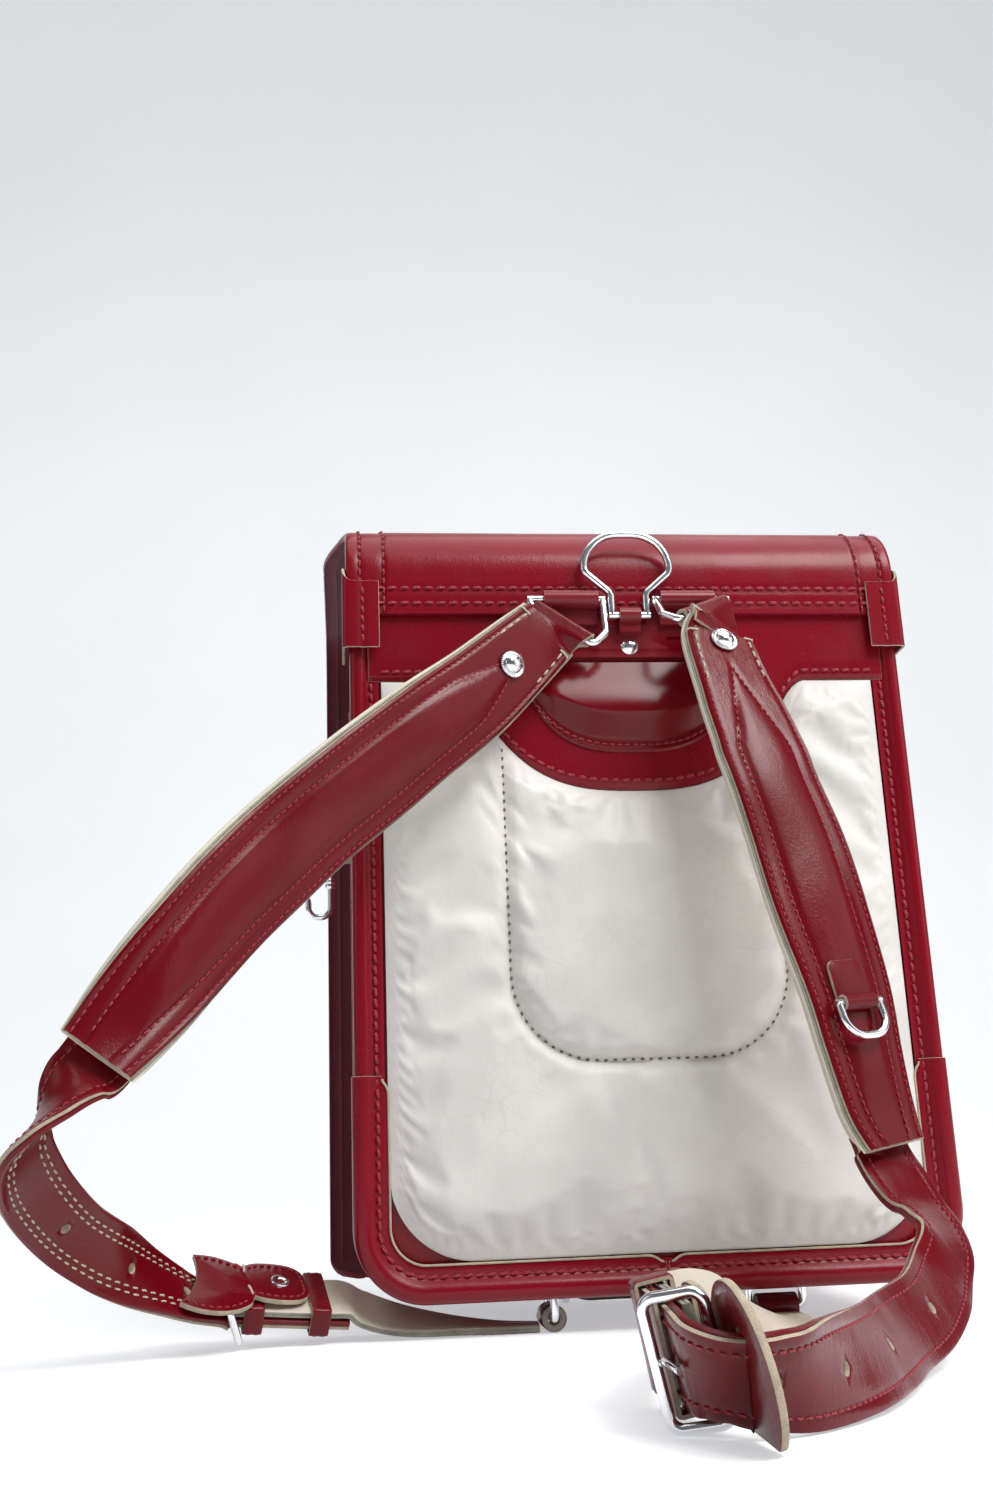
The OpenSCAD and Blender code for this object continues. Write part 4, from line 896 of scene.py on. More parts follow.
# One piece of the flap between two distances along its profile.
def flapSheet(name, low, high, nodes):
    size = {"widen": (52, 100), "border": 22, "columns": 33, "seam": 0.45, "hem": 14, "end": 7,
            "points": 200}
    yz = flapProfile()
    run = runOf(yz)
    n = leftOf(yz)
    rest = run[-1] - run
    r = flapSize["corner"]
    wider = flapSize["half"] - flapSize["root"]
    width = flapSize["root"] + wider * ease(run, *size["widen"])
    width -= np.where(rest < r, r - np.sqrt(np.maximum(0, r ** 2 - (r - rest) ** 2)), 0)
    keep = (run >= low) & (run < high)
    yz, n, width, run, rest = yz[keep], n[keep], width[keep], run[keep], rest[keep]
    edge = [0, 0.6, 1.4, 2.4, 3.6, 4.8, 5.6, 6.2, 6.8, 7.6, 10, 13, 16.2, 17.2, 18, 18.8, 20]
    across = [d - width for d in edge]
    across += [(width - size["border"]) * s for s in np.linspace(-1, 1, size["columns"])]
    across += [width - d for d in edge[::-1]]
    seams = sum(size["seam"] * bell(run, at, 1.0) for at in flapSize["seams"])
    rows = []
    for x in across:
        lift = flapRim(width - np.abs(x)) - seams
        rows.append(np.stack([x, yz[:, 0] + n[:, 0] * lift, yz[:, 1] + n[:, 1] * lift], 1))
    face = np.stack([0 * run, n[:, 0], n[:, 1]], 1)
    part = Bundle()
    part.sheet(np.stack(rows, 1), flapSize["thick"], red, lining, red,
               normals=np.repeat(face[:, None], len(across), 1))
    sewn = rest > size["hem"]
    for inset in flapSize["sides"]:
        for s in (-1, 1):
            line = np.stack([s * (width - inset), yz[:, 0] + n[:, 0] * 0.05,
                             yz[:, 1] + n[:, 1] * 0.05], 1)
            part.stitches(line[sewn], face[sewn], redThread, pitch=4.4, length=3.3, radius=0.5)
    for at in flapSize["seams"] if low == 0 else ():
        k = int(np.argmin(np.abs(run - at)))
        x = np.linspace(-width[k] + size["end"], width[k] - size["end"], size["points"])
        line = np.stack([x, 0 * x + yz[k, 0] + 0.3, 0 * x + flapSize["low"] + at], 1)
        part.stitches(line, (0, -1, 0), redThread, pitch=5.6, length=4.6, radius=0.85, slant=0.08)
    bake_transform(part.make(name, None, nodes))


flapSheet("flapRear", 0, 110, ["flap_root", "flap_top"])
flapSheet("flapFront", 108, 1000, ["flap_front", "flap_lining"])


# Where rays from the centre leave an outline.
def rayHits(outline, centre, ways):
    start = outline - centre
    edge = np.roll(start, -1, 0) - start
    hits = []
    for d in ways:
        det = d[1] * edge[:, 0] - d[0] * edge[:, 1]
        det = np.where(np.abs(det) < 1e-9, np.inf, det)
        far = (start[:, 1] * edge[:, 0] - start[:, 0] * edge[:, 1]) / det
        share = (d[0] * start[:, 1] - d[1] * start[:, 0]) / det
        on = (far > 0) & (share >= -1e-6) & (share <= 1 + 1e-6)
        hits.append(centre + d * np.max(far[on]))
    return np.array(hits)


# The tongue lies in a sloping plane: its outlines are drawn across and along it.
def tongue():
    size = {"origin": (0, 172.5, 13.63), "slope": 16.5, "half": 20, "low": -42, "high": -0.2,
            "bend": 8, "holeHalf": 10.2, "holeLow": -38.7, "holeHigh": -10.3, "holeBend": 4,
            "centre": -24.5, "rays": 96, "sew": 2.6, "sewn": -1.15, "fine": (9, 4)}
    slope = math.radians(size["slope"])

    def place(line, thick):
        y = line[:, 1] * math.cos(slope) - thick * math.sin(slope)
        z = line[:, 1] * math.sin(slope) + thick * math.cos(slope)
        return np.stack([line[:, 0], y, z], 1) + np.array(size["origin"])

    outer = panelOutline(size["half"], size["low"], size["high"], size["bend"], 1, size["fine"])
    hole = panelOutline(size["holeHalf"], size["holeLow"], size["holeHigh"], size["holeBend"], 1,
                        size["fine"])
    centre = np.array([0, size["centre"]])
    around = angles(size["rays"])
    ways = np.stack([np.cos(around), np.sin(around)], 1)
    outer = rayHits(closedLine(outer, 1.0), centre, ways)
    hole = rayHits(closedLine(hole, 1.0), centre, ways)
    rows = [place(line + unit(line - centre) * grow, thick) for line, grow, thick in (
        (hole, 0.0, -0.9), (hole, 0.0, 0.9), (hole, 0.35, 1.2), (outer, -0.4, 1.2),
        (outer, 0.0, 0.8), (outer, 0.0, -0.8), (outer, -0.4, -1.2), (hole, 0.35, -1.2))]
    part = Bundle()
    part.loft(np.stack(rows, 1), [cream, red, red, cream, cream, cream, red, cream], True)
    sew = outer - unit(outer - centre) * size["sew"]
    part.stitches(place(np.concatenate([sew, sew[:1]]), size["sewn"]),
                  (0, math.sin(slope), -math.cos(slope)), redThread, pitch=3.6, length=2.6,
                  radius=0.4)
    part.make("tongue", "flap_tongue")


tongue()
print("flap done")


# Wires


# Corners are (x, y, bend radius); ends and corners without a radius stay sharp.
def bentPath(corners, closed, fine=9):
    pts, n = [], len(corners)
    for i in range(n):
        corner = np.array(corners[i][:2], float)
        r = corners[i][2] if len(corners[i]) > 2 else 0
        if (not closed and i in (0, n - 1)) or r == 0:
            pts.append(corner)
            continue
        u = unit(corner - np.array(corners[i - 1][:2]))
        v = unit(np.array(corners[(i + 1) % n][:2]) - corner)
        turn = math.atan2(u[0] * v[1] - u[1] * v[0], float(np.dot(u, v)))
        side = 1 if turn > 0 else -1
        centre = corner - u * r * math.tan(abs(turn) / 2) + side * r * np.array([-u[1], u[0]])
        start = math.atan2(u[1], u[0]) - side * math.pi / 2
        for k in range(fine + 1):
            a = start + turn * k / fine
            pts.append(centre + r * np.array([math.cos(a), math.sin(a)]))
    return np.array(pts)


# A bent wire in the plane of u and v.
def wirePath(origin, u, v, corners, closed):
    flat = bentPath(corners, closed)
    return (np.asarray(origin, float) + flat[:, :1] * np.asarray(u, float)
            + flat[:, 1:] * np.asarray(v, float))


# A straight pin with chamfered ends.
def pinEnds(part, origin, way, low, high, radius, chamfer):
    cut, slim = chamfer
    stops = (low - cut, low, high, high + cut)
    part.tube([np.asarray(origin) + np.asarray(way) * x for x in stops],
              [slim, radius, radius, slim], chrome)


ringSize = {"wire": 1.8, "y": -10.8, "z": 322.0, "in": 12.6, "out": 46.8, "leg": 19.0,
            "step": 6.5, "drop": 7, "foot": 3.4, "bend": 3.2, "lean": {-1: 15, 1: 48},
            "pin": 1.78, "chamfer": (0.3, 1.3)}


def ringPlane(side):
    a = math.radians(ringSize["lean"][side])
    return (np.array([0, ringSize["y"], ringSize["z"]]), np.array([side, 0, 0]),
            np.array([0, -math.sin(a), -math.cos(a)]))


# The two ends of the slanting foot of a strap ring.
def ringFootEnds():
    return ((ringSize["in"] + ringSize["step"], ringSize["leg"] + ringSize["drop"]),
            (ringSize["out"], ringSize["foot"]))


def strapRing(side):
    inner, outer, bend = ringSize["in"], ringSize["out"], ringSize["bend"]
    low, end = ringFootEnds()
    corners = [(inner, 0, bend), (inner, ringSize["leg"], bend), (*low, bend), (*end, bend),
               (outer, 0, bend)]
    origin, u, v = ringPlane(side)
    name = sideNames[side]
    part = Bundle()
    part.tube(wirePath(origin, u, v, corners, False), ringSize["wire"], chrome)
    pinEnds(part, origin, u, inner - 1.2, outer + 1.2, ringSize["pin"], ringSize["chamfer"])
    part.make(name + "StrapRing", name + "_ring")


strapRing(-1)
strapRing(1)


def hangLoop():
    low, pin = 314.0, 9.8
    half = [(8.4, 0, 0), (8.4, 11, 4), (20.5, 22, 6), (20.5, 41, 17)]
    origin, way = (0, ringSize["y"], low), (1, 0, 0)
    corners = half + [(-x, y, r) for x, y, r in half[::-1]]
    part = Bundle()
    part.tube(wirePath(origin, way, (0, 0, 1), corners, False), ringSize["wire"], chrome, 24)
    pinEnds(part, origin, way, -pin, pin, ringSize["pin"], ringSize["chamfer"])
    part.make("hangLoop", "loop")


hangLoop()


# Where the lower rings lie, and the way of their long wire.
ringFoot = {"left": np.array([-48, 17, 5.5]), "right": np.array([50, 16, 5.5])}
ringWay = {"left": np.array([0, 1.0, 0]), "right": np.array([1.0, 0, 0])}


def lowerRing(name):
    size = {"wire": 1.8, "high": 11.3, "reach": 12.0, "bend": 2.8, "tab": 7.6, "tabLow": 14.6,
            "tabHigh": 19.7}
    x, y = ringFoot[name][:2]
    high, reach, bend, tab = (size[k] for k in ("high", "reach", "bend", "tab"))
    corners = [(-reach, 0, bend), (reach, 0, bend), (reach, high, bend), (-reach, high, bend)]
    part = Bundle()
    part.tube(wirePath(ringFoot[name], ringWay[name], (0, 0, 1), corners, True), size["wire"],
              chrome, closed=True)
    outline = panelOutline(tab, size["tabLow"], size["tabHigh"], 1.0, 1.0) + np.array([x, 0])
    part.plate(outline, y - tab, y + tab, red, cream, 0.6)
    part.make(name + "LowerRing")


lowerRing("left")
lowerRing("right")


def sideHook():
    size = {"place": (-141.0, 78.4, 221.98), "wall": -126.0, "wire": 1.5, "tip": [1.4, 1.1, 0.6],
            "tabHalf": 8.9, "tabLow": -45.8, "tabHigh": 23.8, "thick": 1.5, "stop": -19,
            "seam": (6.8, 21.5, -43.5, 3)}
    x, y, z = size["place"]
    part = Bundle()
    bail = [(-8, 0, 2), (8, 0, 2), (0, -18, 2)]
    part.tube(wirePath((x, y, z), (0, 1, 0), (0, 0, 1), bail, True), size["wire"], chrome,
              closed=True)
    hook = [(0, -17), (0, -33, 5), (-11, -33, 5), (-11, -23)]
    path = resample(wirePath((x, y, z), (1, 0, 0), (0, 0, 1), hook, False), 1.0)
    stem = np.full(len(path) - len(size["tip"]), size["wire"])
    part.tube(path, np.concatenate([stem, size["tip"]]), chrome)
    part.ball((x, y, z + size["stop"]), (0, 0, 1), [1.6, 2.6, 2.9, 2.9, 2.6, 2.9, 2.9, 2.6, 1.6],
              [0, 0.2, 0.6, 2.0, 2.5, 3.0, 4.4, 4.8, 5], chrome)
    part.make("sideHook", "hook")
    tab = Bundle()
    near, far = 0.05, size["thick"] + 0.05
    tab.plate(panelOutline(size["tabHalf"], size["tabLow"], size["tabHigh"], 4.0, 4.0), near, far,
              red, cream, 0.4,
              place=lambda q: np.stack([size["wall"] - q[:, 1], y + q[:, 0], z + q[:, 2]], 1))
    # The loop that carries the bail, in X and height over the bail.
    loop = [(-126.6, 5.6), (-131.0, 5.2), (-136.5, 4.4), (-139.6, 4.2), (-142.2, 3.8),
            (-144.4, 2.2), (-145.3, 0), (-144.4, -2.2), (-142.2, -3.8), (-139.6, -4.2),
            (-136.5, -4.2), (-131.0, -4.0), (-126.6, -4.4)]
    loop = resample(np.array(loop) + np.array([0, z]), 0.8)
    wide = (-3.9, -2, 0, 2, 3.9)
    out = upright(unit(np.gradient(loop, axis=0))[:, ::-1] * (-1, 1), 0)
    tab.sheet(np.stack([upright(loop, y + w) for w in wide], 1), size["thick"], red, cream, cream,
              normals=np.repeat(out[:, None], len(wide), 1))
    half, high, low, bend = size["seam"]
    ring = uPath(half, z + high, z + low, bend, 2.0)
    seam = np.stack([0 * ring[:, 0] + size["wall"] - far, y + ring[:, 0], ring[:, 1]], 1)
    tab.stitches(seam, (-1, 0, 0), redThread, pitch=4.2, length=3.1, radius=0.45)
    tab.make("sideHookTab")


sideHook()
print("wires done")


# Shoulder straps


padHalf, beltHalf = 22.5, 13.5
# Thickness of the layers and the gaps between them.
layer = {"back": 4.5, "belt": 4.0, "lower": 3.2, "padGap": 0.9, "beltGap": 0.6}
# Smoothed steps between two rows of a route; a station is half as many.
fineSteps = 8

# Pad rows: share of the way up to the ring, shift in X, Y and Z, direction across, width.
# Turn rows: X and Y from the lower ring, Z, direction across. Return rows add the half width.
leftPadRoute = [
    (0.993, -6, -2, 0, (0.75, 0.2, -0.63), 0.69), (0.949, -18, -9, 0, (0.6, 0.3, -0.74), 0.78),
    (0.871, -40, -23, 0, (0.6, 0.35, -0.7), 0.89), (0.803, -62, -37, 0, (0.59, 0.5, -0.62), 0.96),
    (0.74, -82, -48, 0, (0.56, 0.54, -0.63), 1), (0.676, -102, -60, 0, (0.56, 0.58, -0.59), 1),
    (0.616, -119, -70, 0, (0.6, 0.58, -0.56), 1), (0.548, -136, -84, 0, (0.59, 0.6, -0.52), 0.98),
    (0.474, -152, -98, 0, (0.6, 0.5, -0.55), 0.91), (0.412, -165, -109, 0, (0.62, 0.2, -0.7), 0.8),
    (0.35, -178, -119, 0, (0.62, -0.1, -0.75), 0.67)]
leftTurn = [
    (-180, -128, 103, (0.66, -0.5, -0.55)), (-186, -131, 95, (0.5, -0.82, -0.28)),
    (-192, -131, 87.5, (0.17, -0.98, -0.08)), (-196.5, -127, 81, (-0.24, -0.96, -0.15)),
    (-198, -119, 74.5, (-0.43, -0.9, -0.11)), (-196.5, -105, 66, (-0.65, -0.74, -0.2)),
    (-192.5, -91, 57.5, (-0.76, -0.61, -0.25)), (-187, -77, 49.5, (-0.8, -0.48, -0.37)),
    (-179, -63, 42, (-0.52, -0.1, -0.82)), (-171, -49, 35.5, (-0.16, -0.32, -0.91)),
    (-162, -36, 29.5, (0.12, -0.55, -0.82)), (-152, -24, 23.5, (0.28, -0.66, -0.68)),
    (-143, -13.5, 19, (0.42, -0.7, -0.56)), (-136, -7.6, 16.8, (0, -0.91, -0.41)),
    (-112, -2.4, 14.6, (0, -0.91, -0.41)), (-88, 3, 12.4, (0, -0.91, -0.41))]
leftReturn = [
    (-5.7, 0, 1.8, (0, 1, 0), 9), (-22, 1, 2.2, (0, 1, 0.05), 10),
    (-40, 2.5, 3.6, (0, 0.98, 0.12), 12.5), (-57, 3.3, 5.6, (0, 0.95, 0.25), 13.5),
    (-70, 3, 8.4, (0, 0.92, 0.36), 13.5), (-80, 2.4, 12, (0, 0.91, 0.41), 13.5)]
rightPadRoute = [
    (0.963, 3.8, -7, 0, (0.8, 0.54, 0.26), 0.64), (0.949, 3, -9, 0, (0.81, 0.44, 0.38), 0.78),
    (0.892, 4, -18, 0, (0.81, 0.4, 0.42), 0.84), (0.832, 7, -25, 0, (0.81, 0.36, 0.46), 0.91),
    (0.774, 10, -32, 0, (0.82, 0.36, 0.45), 0.96), (0.716, 12, -40, 0, (0.84, 0.35, 0.42), 0.98),
    (0.619, 17, -49, 0, (0.87, 0.28, 0.4), 1), (0.521, 20, -59, 0, (0.87, 0.29, 0.4), 1),
    (0.417, 24, -68, 0, (0.88, 0.38, 0.28), 0.98), (0.337, 25, -75, 0, (0.87, 0.42, 0.26), 0.91),
    (0.258, 27, -81, 0, (0.86, 0.47, 0.21), 0.84), (0.212, 30, -86, 0, (0.85, 0.49, 0.2), 0.71)]
rightTurn = [
    (24, -94, 61, (0.97, 0.1, -0.2)), (27, -104, 50, (0.95, 0.3, -0.1)),
    (29.5, -114, 43.5, (0.84, 0.5, -0.16)), (28.5, -126, 35.5, (0.74, 0.64, -0.17)),
    (19.5, -142, 25.5, (0.79, 0.54, -0.28)), (5, -164, 18, (0.74, 0.48, -0.47)),
    (-13.5, -188, 14.5, (0.7, 0.38, -0.6)), (-28, -214, 14, (0.63, 0.36, -0.69)),
    (-44, -239, 14, (0.54, 0.36, -0.75)), (-64, -262, 14.2, (0.37, 0.5, -0.78)),
    (-78, -271, 15, (0.24, 0.57, -0.79)), (-88, -272.5, 16, (0.18, 0.57, -0.8)),
    (-94.5, -267, 17.4, (0.17, 0.54, -0.82)), (-97, -258, 18.9, (0.17, 0.52, -0.84)),
    (-96.8, -232, 20.6, (0.17, 0.52, -0.84)), (-96.5, -206, 22.3, (0.17, 0.52, -0.84))]
rightReturn = [
    (0, -5.7, 1.8, (-1, 0, 0), 9), (-2, -22, 2, (-1, 0.05, 0), 10),
    (-10, -46, 4.6, (-0.93, 0.3, 0.2), 12.5), (-28, -78, 10.6, (-0.7, 0.4, 0.55), 13.5),
    (-48, -114, 16.5, (-0.45, 0.2, 0.85), 13.5), (-68, -148, 20, (-0.35, -0.15, 0.92), 13.5),
    (-85, -178, 21.4, (-0.2, -0.4, 0.9), 13.5)]


def smoothRows(rows, n):
    rows = np.asarray(rows, float)
    last = len(rows) - 1
    out = []
    for i in range(last):
        p0, p1, p2, p3 = (rows[k] for k in (max(0, i - 1), i, i + 1, min(last, i + 2)))
        for t in np.arange(n) / n:
            out.append(0.5 * (2 * p1 + (p2 - p0) * t + (2 * p0 - 5 * p1 + 4 * p2 - p3) * t * t
                              + (3 * p1 - p0 - 3 * p2 + p3) * t ** 3))
    out.append(rows[-1])
    return np.array(out)


class Run:
    # Points, directions along, across and outward, and half widths of a strap.
    def __init__(self, rows):
        self.p = rows[:, :3]
        ahead = np.concatenate([self.p[1:], self.p[-1:]])
        behind = np.concatenate([self.p[:1], self.p[:-1]])
        self.t = unit(ahead - behind)
        a = rows[:, 3:6]
        self.a = unit(a - self.t * np.sum(a * self.t, 1, keepdims=True))
        self.n = np.cross(self.t, self.a)
        self.w = rows[:, 6]
        self.run = runOf(self.p)

    def at(self, i, x, h):
        return self.p[i] + self.a[i] * x + self.n[i] * h

    def section(self, i, points):
        return [self.at(i, x, h) for x, h in points]

    def line(self, x, h):
        x = np.broadcast_to(x, self.run.shape)[:, None]
        h = np.broadcast_to(h, self.run.shape)[:, None]
        return self.p + self.a * x + self.n * h

    def inward(self, i, depth, side=1):
        return [*(self.p[i] - self.n[i] * depth), *(self.a[i] * side), beltHalf]

    def index(self, far):
        return int(np.searchsorted(self.run, far))

    def station(self, i):
        k = i * fineSteps // 2
        return self.p[k], self.t[k], self.a[k], self.n[k]

    def cut(self, low, high):
        part = object.__new__(Run)
        parts = [v[low:high] for v in (self.p, self.t, self.a, self.n, self.w, self.run)]
        part.p, part.t, part.a, part.n, part.w, run = parts
        part.run = run - run[0]
        return part


# A closed section from its right half, which runs between two points on the middle line,
# started the given number of points early.
def wholeSection(half, early):
    half = np.array(half)
    return np.roll(np.concatenate([half, (half[1:-1] * (-1, 1))[::-1]]), early, axis=0)


def padRun(route, low, top):
    rows = [[*(low + (top - low) * r[0] + np.array(r[1:4])), *r[4], r[5] * padHalf] for r in route]
    return Run(smoothRows(rows, fineSteps))


def beltRun(pad, turn, low):
    half = fineSteps // 2
    coarse = Run(np.array([[*pad.p[i], *pad.a[i], pad.w[i]] for i in range(0, len(pad.p), half)]))
    last = len(coarse.p) - 1
    depth = layer["back"] + layer["belt"] / 2 + layer["padGap"]
    rows = [coarse.inward(last - 2, depth), coarse.inward(last, depth)]
    rows += [[low[0] + r[0], low[1] + r[1], r[2], *r[3], beltHalf] for r in turn]
    return Run(smoothRows(rows, fineSteps))


def lowerRun(belt, back, low):
    depth = layer["belt"] / 2 + layer["beltGap"] + layer["lower"] / 2
    last = len(belt.p) - 1
    rows = [[low[0] + r[0], low[1] + r[1], r[2], *r[3], r[4]] for r in back]
    rows += [belt.inward(last - k * fineSteps // 2, depth, -1) for k in range(5)]
    return Run(smoothRows(rows, fineSteps))


# One strap: the point and direction of its ring's foot, and its three runs.
def strapRuns(side, route, turn, back):
    origin, u, v = ringPlane(side)
    first, last = ringFootEnds()
    top = origin + u * (first[0] + last[0]) / 2 + v * (first[1] + last[1]) / 2
    along = unit(u * (last[0] - first[0]) + v * (last[1] - first[1]))
    low = ringFoot[sideNames[side]]
    pad = padRun(route, low, top)
    belt = beltRun(pad, turn, low)
    return {"top": top, "along": along, "pad": pad, "belt": belt,
            "lower": lowerRun(belt, back, low)}


straps = {"left": strapRuns(-1, leftPadRoute, leftTurn, leftReturn),
          "right": strapRuns(1, rightPadRoute, rightTurn, rightReturn)}


def bothStraps(*makers):
    for name, strap in straps.items():
        for maker in makers:
            maker(name, strap)


# The red face, with a sewn middle panel that starts in a point under the rivet.
def strapFace(name, strap):
    pad = strap["pad"]
    size = {"share": 0.97, "rim": 8.6, "start": 24, "slope": 0.3, "crown": 2.3, "thick": 1.25,
            "groove": 2.6, "sewStart": 22, "barInset": 3.6, "bar": 0.5, "barAt": 4,
            "top": (5, 31), "swell": (30, 60), "sink": (4, 40), "seam": (20, 26),
            "rimSewn": 1.85, "panelSewn": 2.0, "topSewn": 2.25}
    part = Bundle()
    w = pad.w * size["share"]
    panel = np.minimum(w - size["rim"], np.maximum(0.5, (pad.run - size["start"]) * size["slope"]))
    spots = [0, 0.5, 1.2, 2.0, 2.6, 3.2, 4.2, 5.6, 7.2]
    across = [d - w for d in spots] + [(w - 8) * (j / 22 * 2 - 1) for j in range(23)]
    across += [w - d for d in spots[::-1]]
    swollen = ease(pad.run, *size["swell"]) * ease(pad.run[-1] - pad.run, *size["sink"])
    rows = []
    for x in across:
        d = w - np.abs(x)
        inside = np.clip(1 - np.abs(x) / np.maximum(panel, 0.8), 0, 1)
        high = 1.3 + 1.0 * ease(d, 0, 1.4) - 0.5 * bell(d, size["groove"], 0.7)
        crown = size["crown"] * (1 - (1 - inside) ** 3) * swollen
        seam = 0.6 * bell(np.abs(x), panel, 0.8) * ease(pad.run, *size["seam"])
        rows.append(pad.line(x, high + crown - seam))
    part.sheet(np.stack(rows, 1), size["thick"], shadedStrapRed, cream, cream,
               normals=np.repeat(pad.n[:, None], len(across), 1))
    first, k = pad.index(size["sewStart"]), pad.index(size["barAt"])
    top = pad.cut(*(pad.index(far) for far in size["top"]))
    # Cream back stitches and a bar on each side hold the strap's top.
    for s in (-1, 1):
        part.stitches(pad.line(s * (w - size["groove"]), size["rimSewn"])[first:], pad.n[first:],
                      redThread, pitch=3.4, length=2.5, radius=0.42)
        part.stitches(pad.line(s * panel, size["panelSewn"])[first:-2], pad.n[first:-2],
                      redThread, pitch=3.4, length=2.5, radius=0.42)
        inset = top.w * size["share"] - size["barInset"]
        part.stitches(top.line(s * inset, size["topSewn"]), top.n, paleThread, pitch=5.2,
                      length=3.6, radius=0.5)
        ends = [(5.0, 2.35), (3.0, 2.45), (0.5, 2.2), (-0.4, 0.6), (-0.5, -1.6)]
        bar = pad.section(k, [(s * (w[k] - x), h) for x, h in ends])
        part.tube(bar, size["bar"], paleThread, 8)
    part.make(name + "StrapFace", name + "_strap")


def strapBacking(name, strap):
    pad = strap["pad"]
    size = {"thin": 2.2, "more": 2.3, "end": 8, "binding": 0.55}
    part = Bundle()
    full = ease(pad.run, 0, size["end"]) * ease(pad.run[-1] - pad.run, 0, size["end"])
    rows = []
    for i, (r, h) in enumerate(zip(pad.w, size["thin"] + size["more"] * full)):
        half = [(0, -h - 0.5), (r * 0.55, -h - 0.35), (r - 1.8, -h), (r + 0.3, -h + 0.7),
                (r + 1.1, -0.5 * h - 0.1), (r + 0.5, -0.8), (r - 0.9, -0.25), (0, -0.2)]
        rows.append(pad.section(i, wholeSection(half, 6)))
    part.loft(np.array(rows), [liningIvory])
    for s in (-1, 1):
        part.tube(pad.line(s * (pad.w - 0.15), -0.55), size["binding"], grey, 8)
    obj = part.make(name + "StrapBacking", name + "_strap", sharp=60)


# The strap's top, laid round the foot of its ring.
def strapFold(name, strap):
    size = {"round": 4.4, "half": 15.2, "thick": 1.7, "turn": 75, "steps": 11, "columns": 15,
            "lead": (4.6, 9.5)}
    pad, top, along = strap["pad"], strap["top"], strap["along"]
    p0, n0, t0 = pad.p[0], pad.n[0], pad.t[0]
    back = unit(p0 - top)
    back = unit(back - along * np.dot(back, along))
    n = np.cross(along, back)
    n = n if np.dot(n, n0) > 0 else -n
    turn = np.radians(np.linspace(size["turn"], -size["turn"], size["steps"]))
    path = [p0 + n0 * 2.0 + t0 * 4, p0 + n0 * 2.1]
    path += [top + size["round"] * (math.sin(a) * n - math.cos(a) * back) for a in turn]
    path += [p0 - n0 * 2.6, p0 - n0 * 2.8 + t0 * 6]
    line = resample(np.array(path), 0.7)
    spots = np.linspace(-size["half"], size["half"], size["columns"])
    cross = pad.a[0] if np.dot(pad.a[0], along) > 0 else -pad.a[0]
    lead = ease(np.linalg.norm(line - top, axis=1), *size["lead"])[:, None, None]
    byRing = np.stack([line + along * x for x in spots], 1)
    byPad = np.stack([line + cross * x for x in spots], 1)
    grid = byRing * (1 - lead) + byPad * lead
    normals, middle = gridNormals(grid), len(line) // 2
    if np.sum(normals[middle, len(spots) // 2] * (line[middle] - top)) < 0:
        normals = -normals
    part = Bundle()
    part.sheet(grid, size["thick"], shadedStrapRed, cream, cream, normals=normals)
    part.make(name + "StrapFold", name + "_strap")


def strapRivet(name, strap):
    p, t, a, n = strap["pad"].station(3)
    part = Bundle()
    part.ball(p + n * 2.7 - t * 4, n, [6.0, 6.2, 6.2, 5.7, 4.9, 4.7, 4.5, 4.0, 3.2, 2.1, 0.9],
              [0, 0.3, 1.2, 1.6, 1.5, 1.3, 2.0, 2.9, 3.6, 4.1, 4.3], chrome, 120, ((1, 2, 3), 40))
    part.make(name + "StrapRivet", name + "_strap")


# Holes through a belt at some of its stations.
def holed(obj, run, stations, radius):
    part = Bundle()
    for i in stations:
        p, t, a, n = run.station(i)
        part.tube([p - n * 4, p + n * 4], radius, cream)
    cutter = part.make(obj.name + "Cut", None, ())
    mod = obj.modifiers.new("holes", "BOOLEAN")
    mod.object, mod.operation, mod.solver = cutter, "DIFFERENCE", "EXACT"
    mod.material_mode = "TRANSFER"
    bpy.context.view_layer.update()
    seen = obj.evaluated_get(bpy.context.evaluated_depsgraph_get())
    done = bpy.data.meshes.new_from_object(seen)
    obj.modifiers.clear()
    obj.data = done
    bpy.data.objects.remove(cutter)


# The outer layer has raw edges, the inner layer rolled ones.
def perforatedBelt(name, strap):
    size = {"hole": 2.0, "left": [17, 22, 26, 30], "right": [14, 18, 21, 24, 30],
            "outer": (4.0, 1.85), "inner": (4.6, 7.0), "sewn": -1.72}
    r, w = strap["belt"].cut(fineSteps // 2, None), beltHalf
    half = [(0, 2.1), (5, 2.05), (w - 4.6, 2.0), (w - 4.0, 1.8), (w - 3.4, 2.0), (w - 0.9, 2.0),
            (w - 0.2, 1.75), (w - 0.05, 1.2), (w - 0.1, 0.55), (w - 0.5, 0.3), (w + 0.05, 0.0),
            (w + 0.25, -0.7), (w, -1.6), (w - 0.8, -2.1), (w - 1.8, -2.1), (w - 2.6, -1.75),
            (w - 4.2, -1.7), (5, -1.75), (0, -1.75)]
    section = wholeSection(half, 6)
    mats = [shadedStrapRed] * 12 + [cream] * 3 + [shadedStrapRed] * 18 + [cream] * 3
    part = Bundle()
    part.loft(np.array([r.section(i, section) for i in range(len(r.p))]), mats)
    holed(part.make(name + "Belt", name + "_strap"), strap["belt"], size[name], size["hole"])
    sew = Bundle()
    inset, high = size["outer"]
    for s in (-1, 1):
        sew.stitches(r.line(s * (w - inset), high), r.n, redThread, pitch=3.2, length=2.3,
                     radius=0.38)
        for more in size["inner"]:
            sew.stitches(r.line(s * (w - more), size["sewn"]), -r.n, paleThread, pitch=4.6,
                         length=2.6, radius=0.4, slant=0.06)
    sew.make(name + "BeltStitches", name + "_strap", ())


